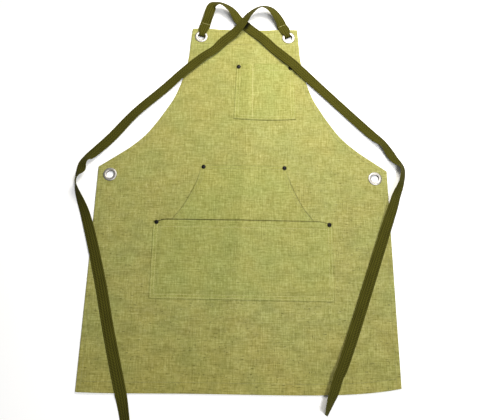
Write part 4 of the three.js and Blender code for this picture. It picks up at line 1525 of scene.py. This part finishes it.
# Floor, light and camera
def make_floor(stage):
    """The plain floor that the apron lies on"""
    half = FLOOR_SIZE / 2
    corners = [(-half, -half, 0), (half, -half, 0), (half, half, 0), (-half, half, 0)]
    mesh = bpy.data.meshes.new("white_floor")
    mesh.from_pydata(corners, [], [(0, 1, 2, 3)])
    mesh.materials.append(floor_material(stage))
    floor = bpy.data.objects.new("white_floor", mesh)
    bpy.context.scene.collection.objects.link(floor)
    floor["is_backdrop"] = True


def make_light(stage):
    """Two soft lamps and an even light from all round, shown in plain colours"""
    for row, power in zip(LIGHTS, (stage.key_power, stage.front_power)):
        light = bpy.data.lights.new(row["name"], "AREA")
        light.energy = power
        light.color = linear(row["warmth"])
        light.shape = "RECTANGLE"
        light.size, light.size_y = row["size"]
        lamp = bpy.data.objects.new(row["name"], light)
        lamp.location = row["place"]
        ahead = Vector(row["aim"]) - Vector(row["place"])
        lamp.rotation_euler = ahead.to_track_quat("-Z", "Y").to_euler()
        lamp.visible_camera = False
        bpy.context.scene.collection.objects.link(lamp)
    world = bpy.data.worlds.new("even_light")
    world.use_nodes = True
    sky = world.node_tree.nodes["Background"]
    sky.inputs["Color"].default_value = (1, 1, 1, 1)
    sky.inputs["Strength"].default_value = stage.fill
    bpy.context.scene.world = world
    bpy.context.scene.view_settings.view_transform = "Standard"


def make_camera(stage):
    """The camera, looking down on the apron from above its hem"""
    data = bpy.data.cameras.new("camera")
    data.lens = stage.lens
    data.sensor_width = SENSOR
    camera = bpy.data.objects.new("camera", data)
    back = (CAMERA_PLACE - CAMERA_AIM).normalized()
    right = (CAMERA_RIGHT - back * CAMERA_RIGHT.dot(back)).normalized()
    turn = Matrix((right, back.cross(right), back)).transposed().to_4x4()
    camera.matrix_world = Matrix.Translation(CAMERA_PLACE) @ turn
    bpy.context.scene.collection.objects.link(camera)
    bpy.context.scene.camera = camera


class APRON_OT_stage(Operator):
    """Set the floor, the light and the camera"""

    bl_idname = "apron.stage"
    bl_label = "Stage"

    def execute(self, context):
        make_floor(context.scene.apron_stage)
        make_light(context.scene.apron_stage)
        make_camera(context.scene.apron_stage)
        return {"FINISHED"}


class APRON_OT_straps(Operator):
    """Thread the webbing straps through their eyelets and lay them out"""

    bl_idname = "apron.straps"
    bl_label = "Straps"

    def execute(self, context):
        make_straps(context.scene.apron_straps, context.scene.apron_cloth)
        return {"FINISHED"}


class APRON_OT_panel(Operator):
    """Cut and hem the canvas panel, and punch its eyelet holes"""

    bl_idname = "apron.panel"
    bl_label = "Canvas Panel"

    def execute(self, context):
        make_panel(context.scene.apron_cloth)
        return {"FINISHED"}


class APRON_OT_pockets(Operator):
    """Lay the hand, front and chest pockets on the panel"""

    bl_idname = "apron.pockets"
    bl_label = "Pockets"

    def execute(self, context):
        make_hand_pocket(context.scene.apron_cloth)
        make_front_pocket(context.scene.apron_cloth)
        make_bib_pocket(context.scene.apron_cloth)
        return {"FINISHED"}


class APRON_OT_stitching(Operator):
    """Sew the hems and the pockets"""

    bl_idname = "apron.stitching"
    bl_label = "Stitching"

    def execute(self, context):
        make_hem_stitches(context.scene.apron_cloth)
        make_pocket_stitches(context.scene.apron_cloth)
        return {"FINISHED"}


class APRON_OT_eyelets(Operator):
    """Set the nickel eyelets and the washers behind them"""

    bl_idname = "apron.eyelets"
    bl_label = "Eyelets"

    def execute(self, context):
        nickel = nickel_material(context.scene.apron_metal)
        for eye in EYES:
            make_eyelet(eye, nickel)
            make_washer(eye, nickel)
        return {"FINISHED"}


class APRON_OT_rivets(Operator):
    """Set the black rivets at the corners of the pockets"""

    bl_idname = "apron.rivets"
    bl_label = "Rivets"

    def execute(self, context):
        black = rivet_material(context.scene.apron_metal)
        for rivet in RIVETS:
            make_rivet(rivet, black)
        return {"FINISHED"}


SETTINGS = {
    "apron_cloth": ApronCloth,
    "apron_straps": ApronStraps,
    "apron_metal": ApronMetal,
    "apron_stage": ApronStage,
}
OPERATORS = [
    APRON_OT_stage,
    APRON_OT_straps,
    APRON_OT_panel,
    APRON_OT_pockets,
    APRON_OT_stitching,
    APRON_OT_eyelets,
    APRON_OT_rivets,
]


class APRON_PT_sidebar(Panel):
    """The apron's sizes, colours and pieces"""

    bl_label = "Canvas Apron"
    bl_idname = "APRON_PT_sidebar"
    bl_space_type = "VIEW_3D"
    bl_region_type = "UI"
    bl_category = "Apron"

    def draw(self, context):
        for name, group in SETTINGS.items():
            box = self.layout.box()
            for key in group.__annotations__:
                box.prop(getattr(context.scene, name), key)
        for operator in OPERATORS:
            self.layout.operator(operator.bl_idname)


def register():
    for item in [*SETTINGS.values(), *OPERATORS, APRON_PT_sidebar]:
        bpy.utils.register_class(item)
    for name, group in SETTINGS.items():
        setattr(bpy.types.Scene, name, PointerProperty(type=group))


def unregister():
    for name in SETTINGS:
        delattr(bpy.types.Scene, name)
    for item in [APRON_PT_sidebar, *OPERATORS, *SETTINGS.values()]:
        bpy.utils.unregister_class(item)


def main():
    register()
    bpy.ops.apron.stage()
    bpy.ops.apron.straps()
    bpy.ops.apron.panel()
    bpy.ops.apron.pockets()
    bpy.ops.apron.stitching()
    bpy.ops.apron.eyelets()
    bpy.ops.apron.rivets()
    boxes = {"cad": CAD_BOX, "visual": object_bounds()}
    {name: [list(corner) for corner in box] for name, box in boxes.items()}


if __name__ == "__main__":
    main()
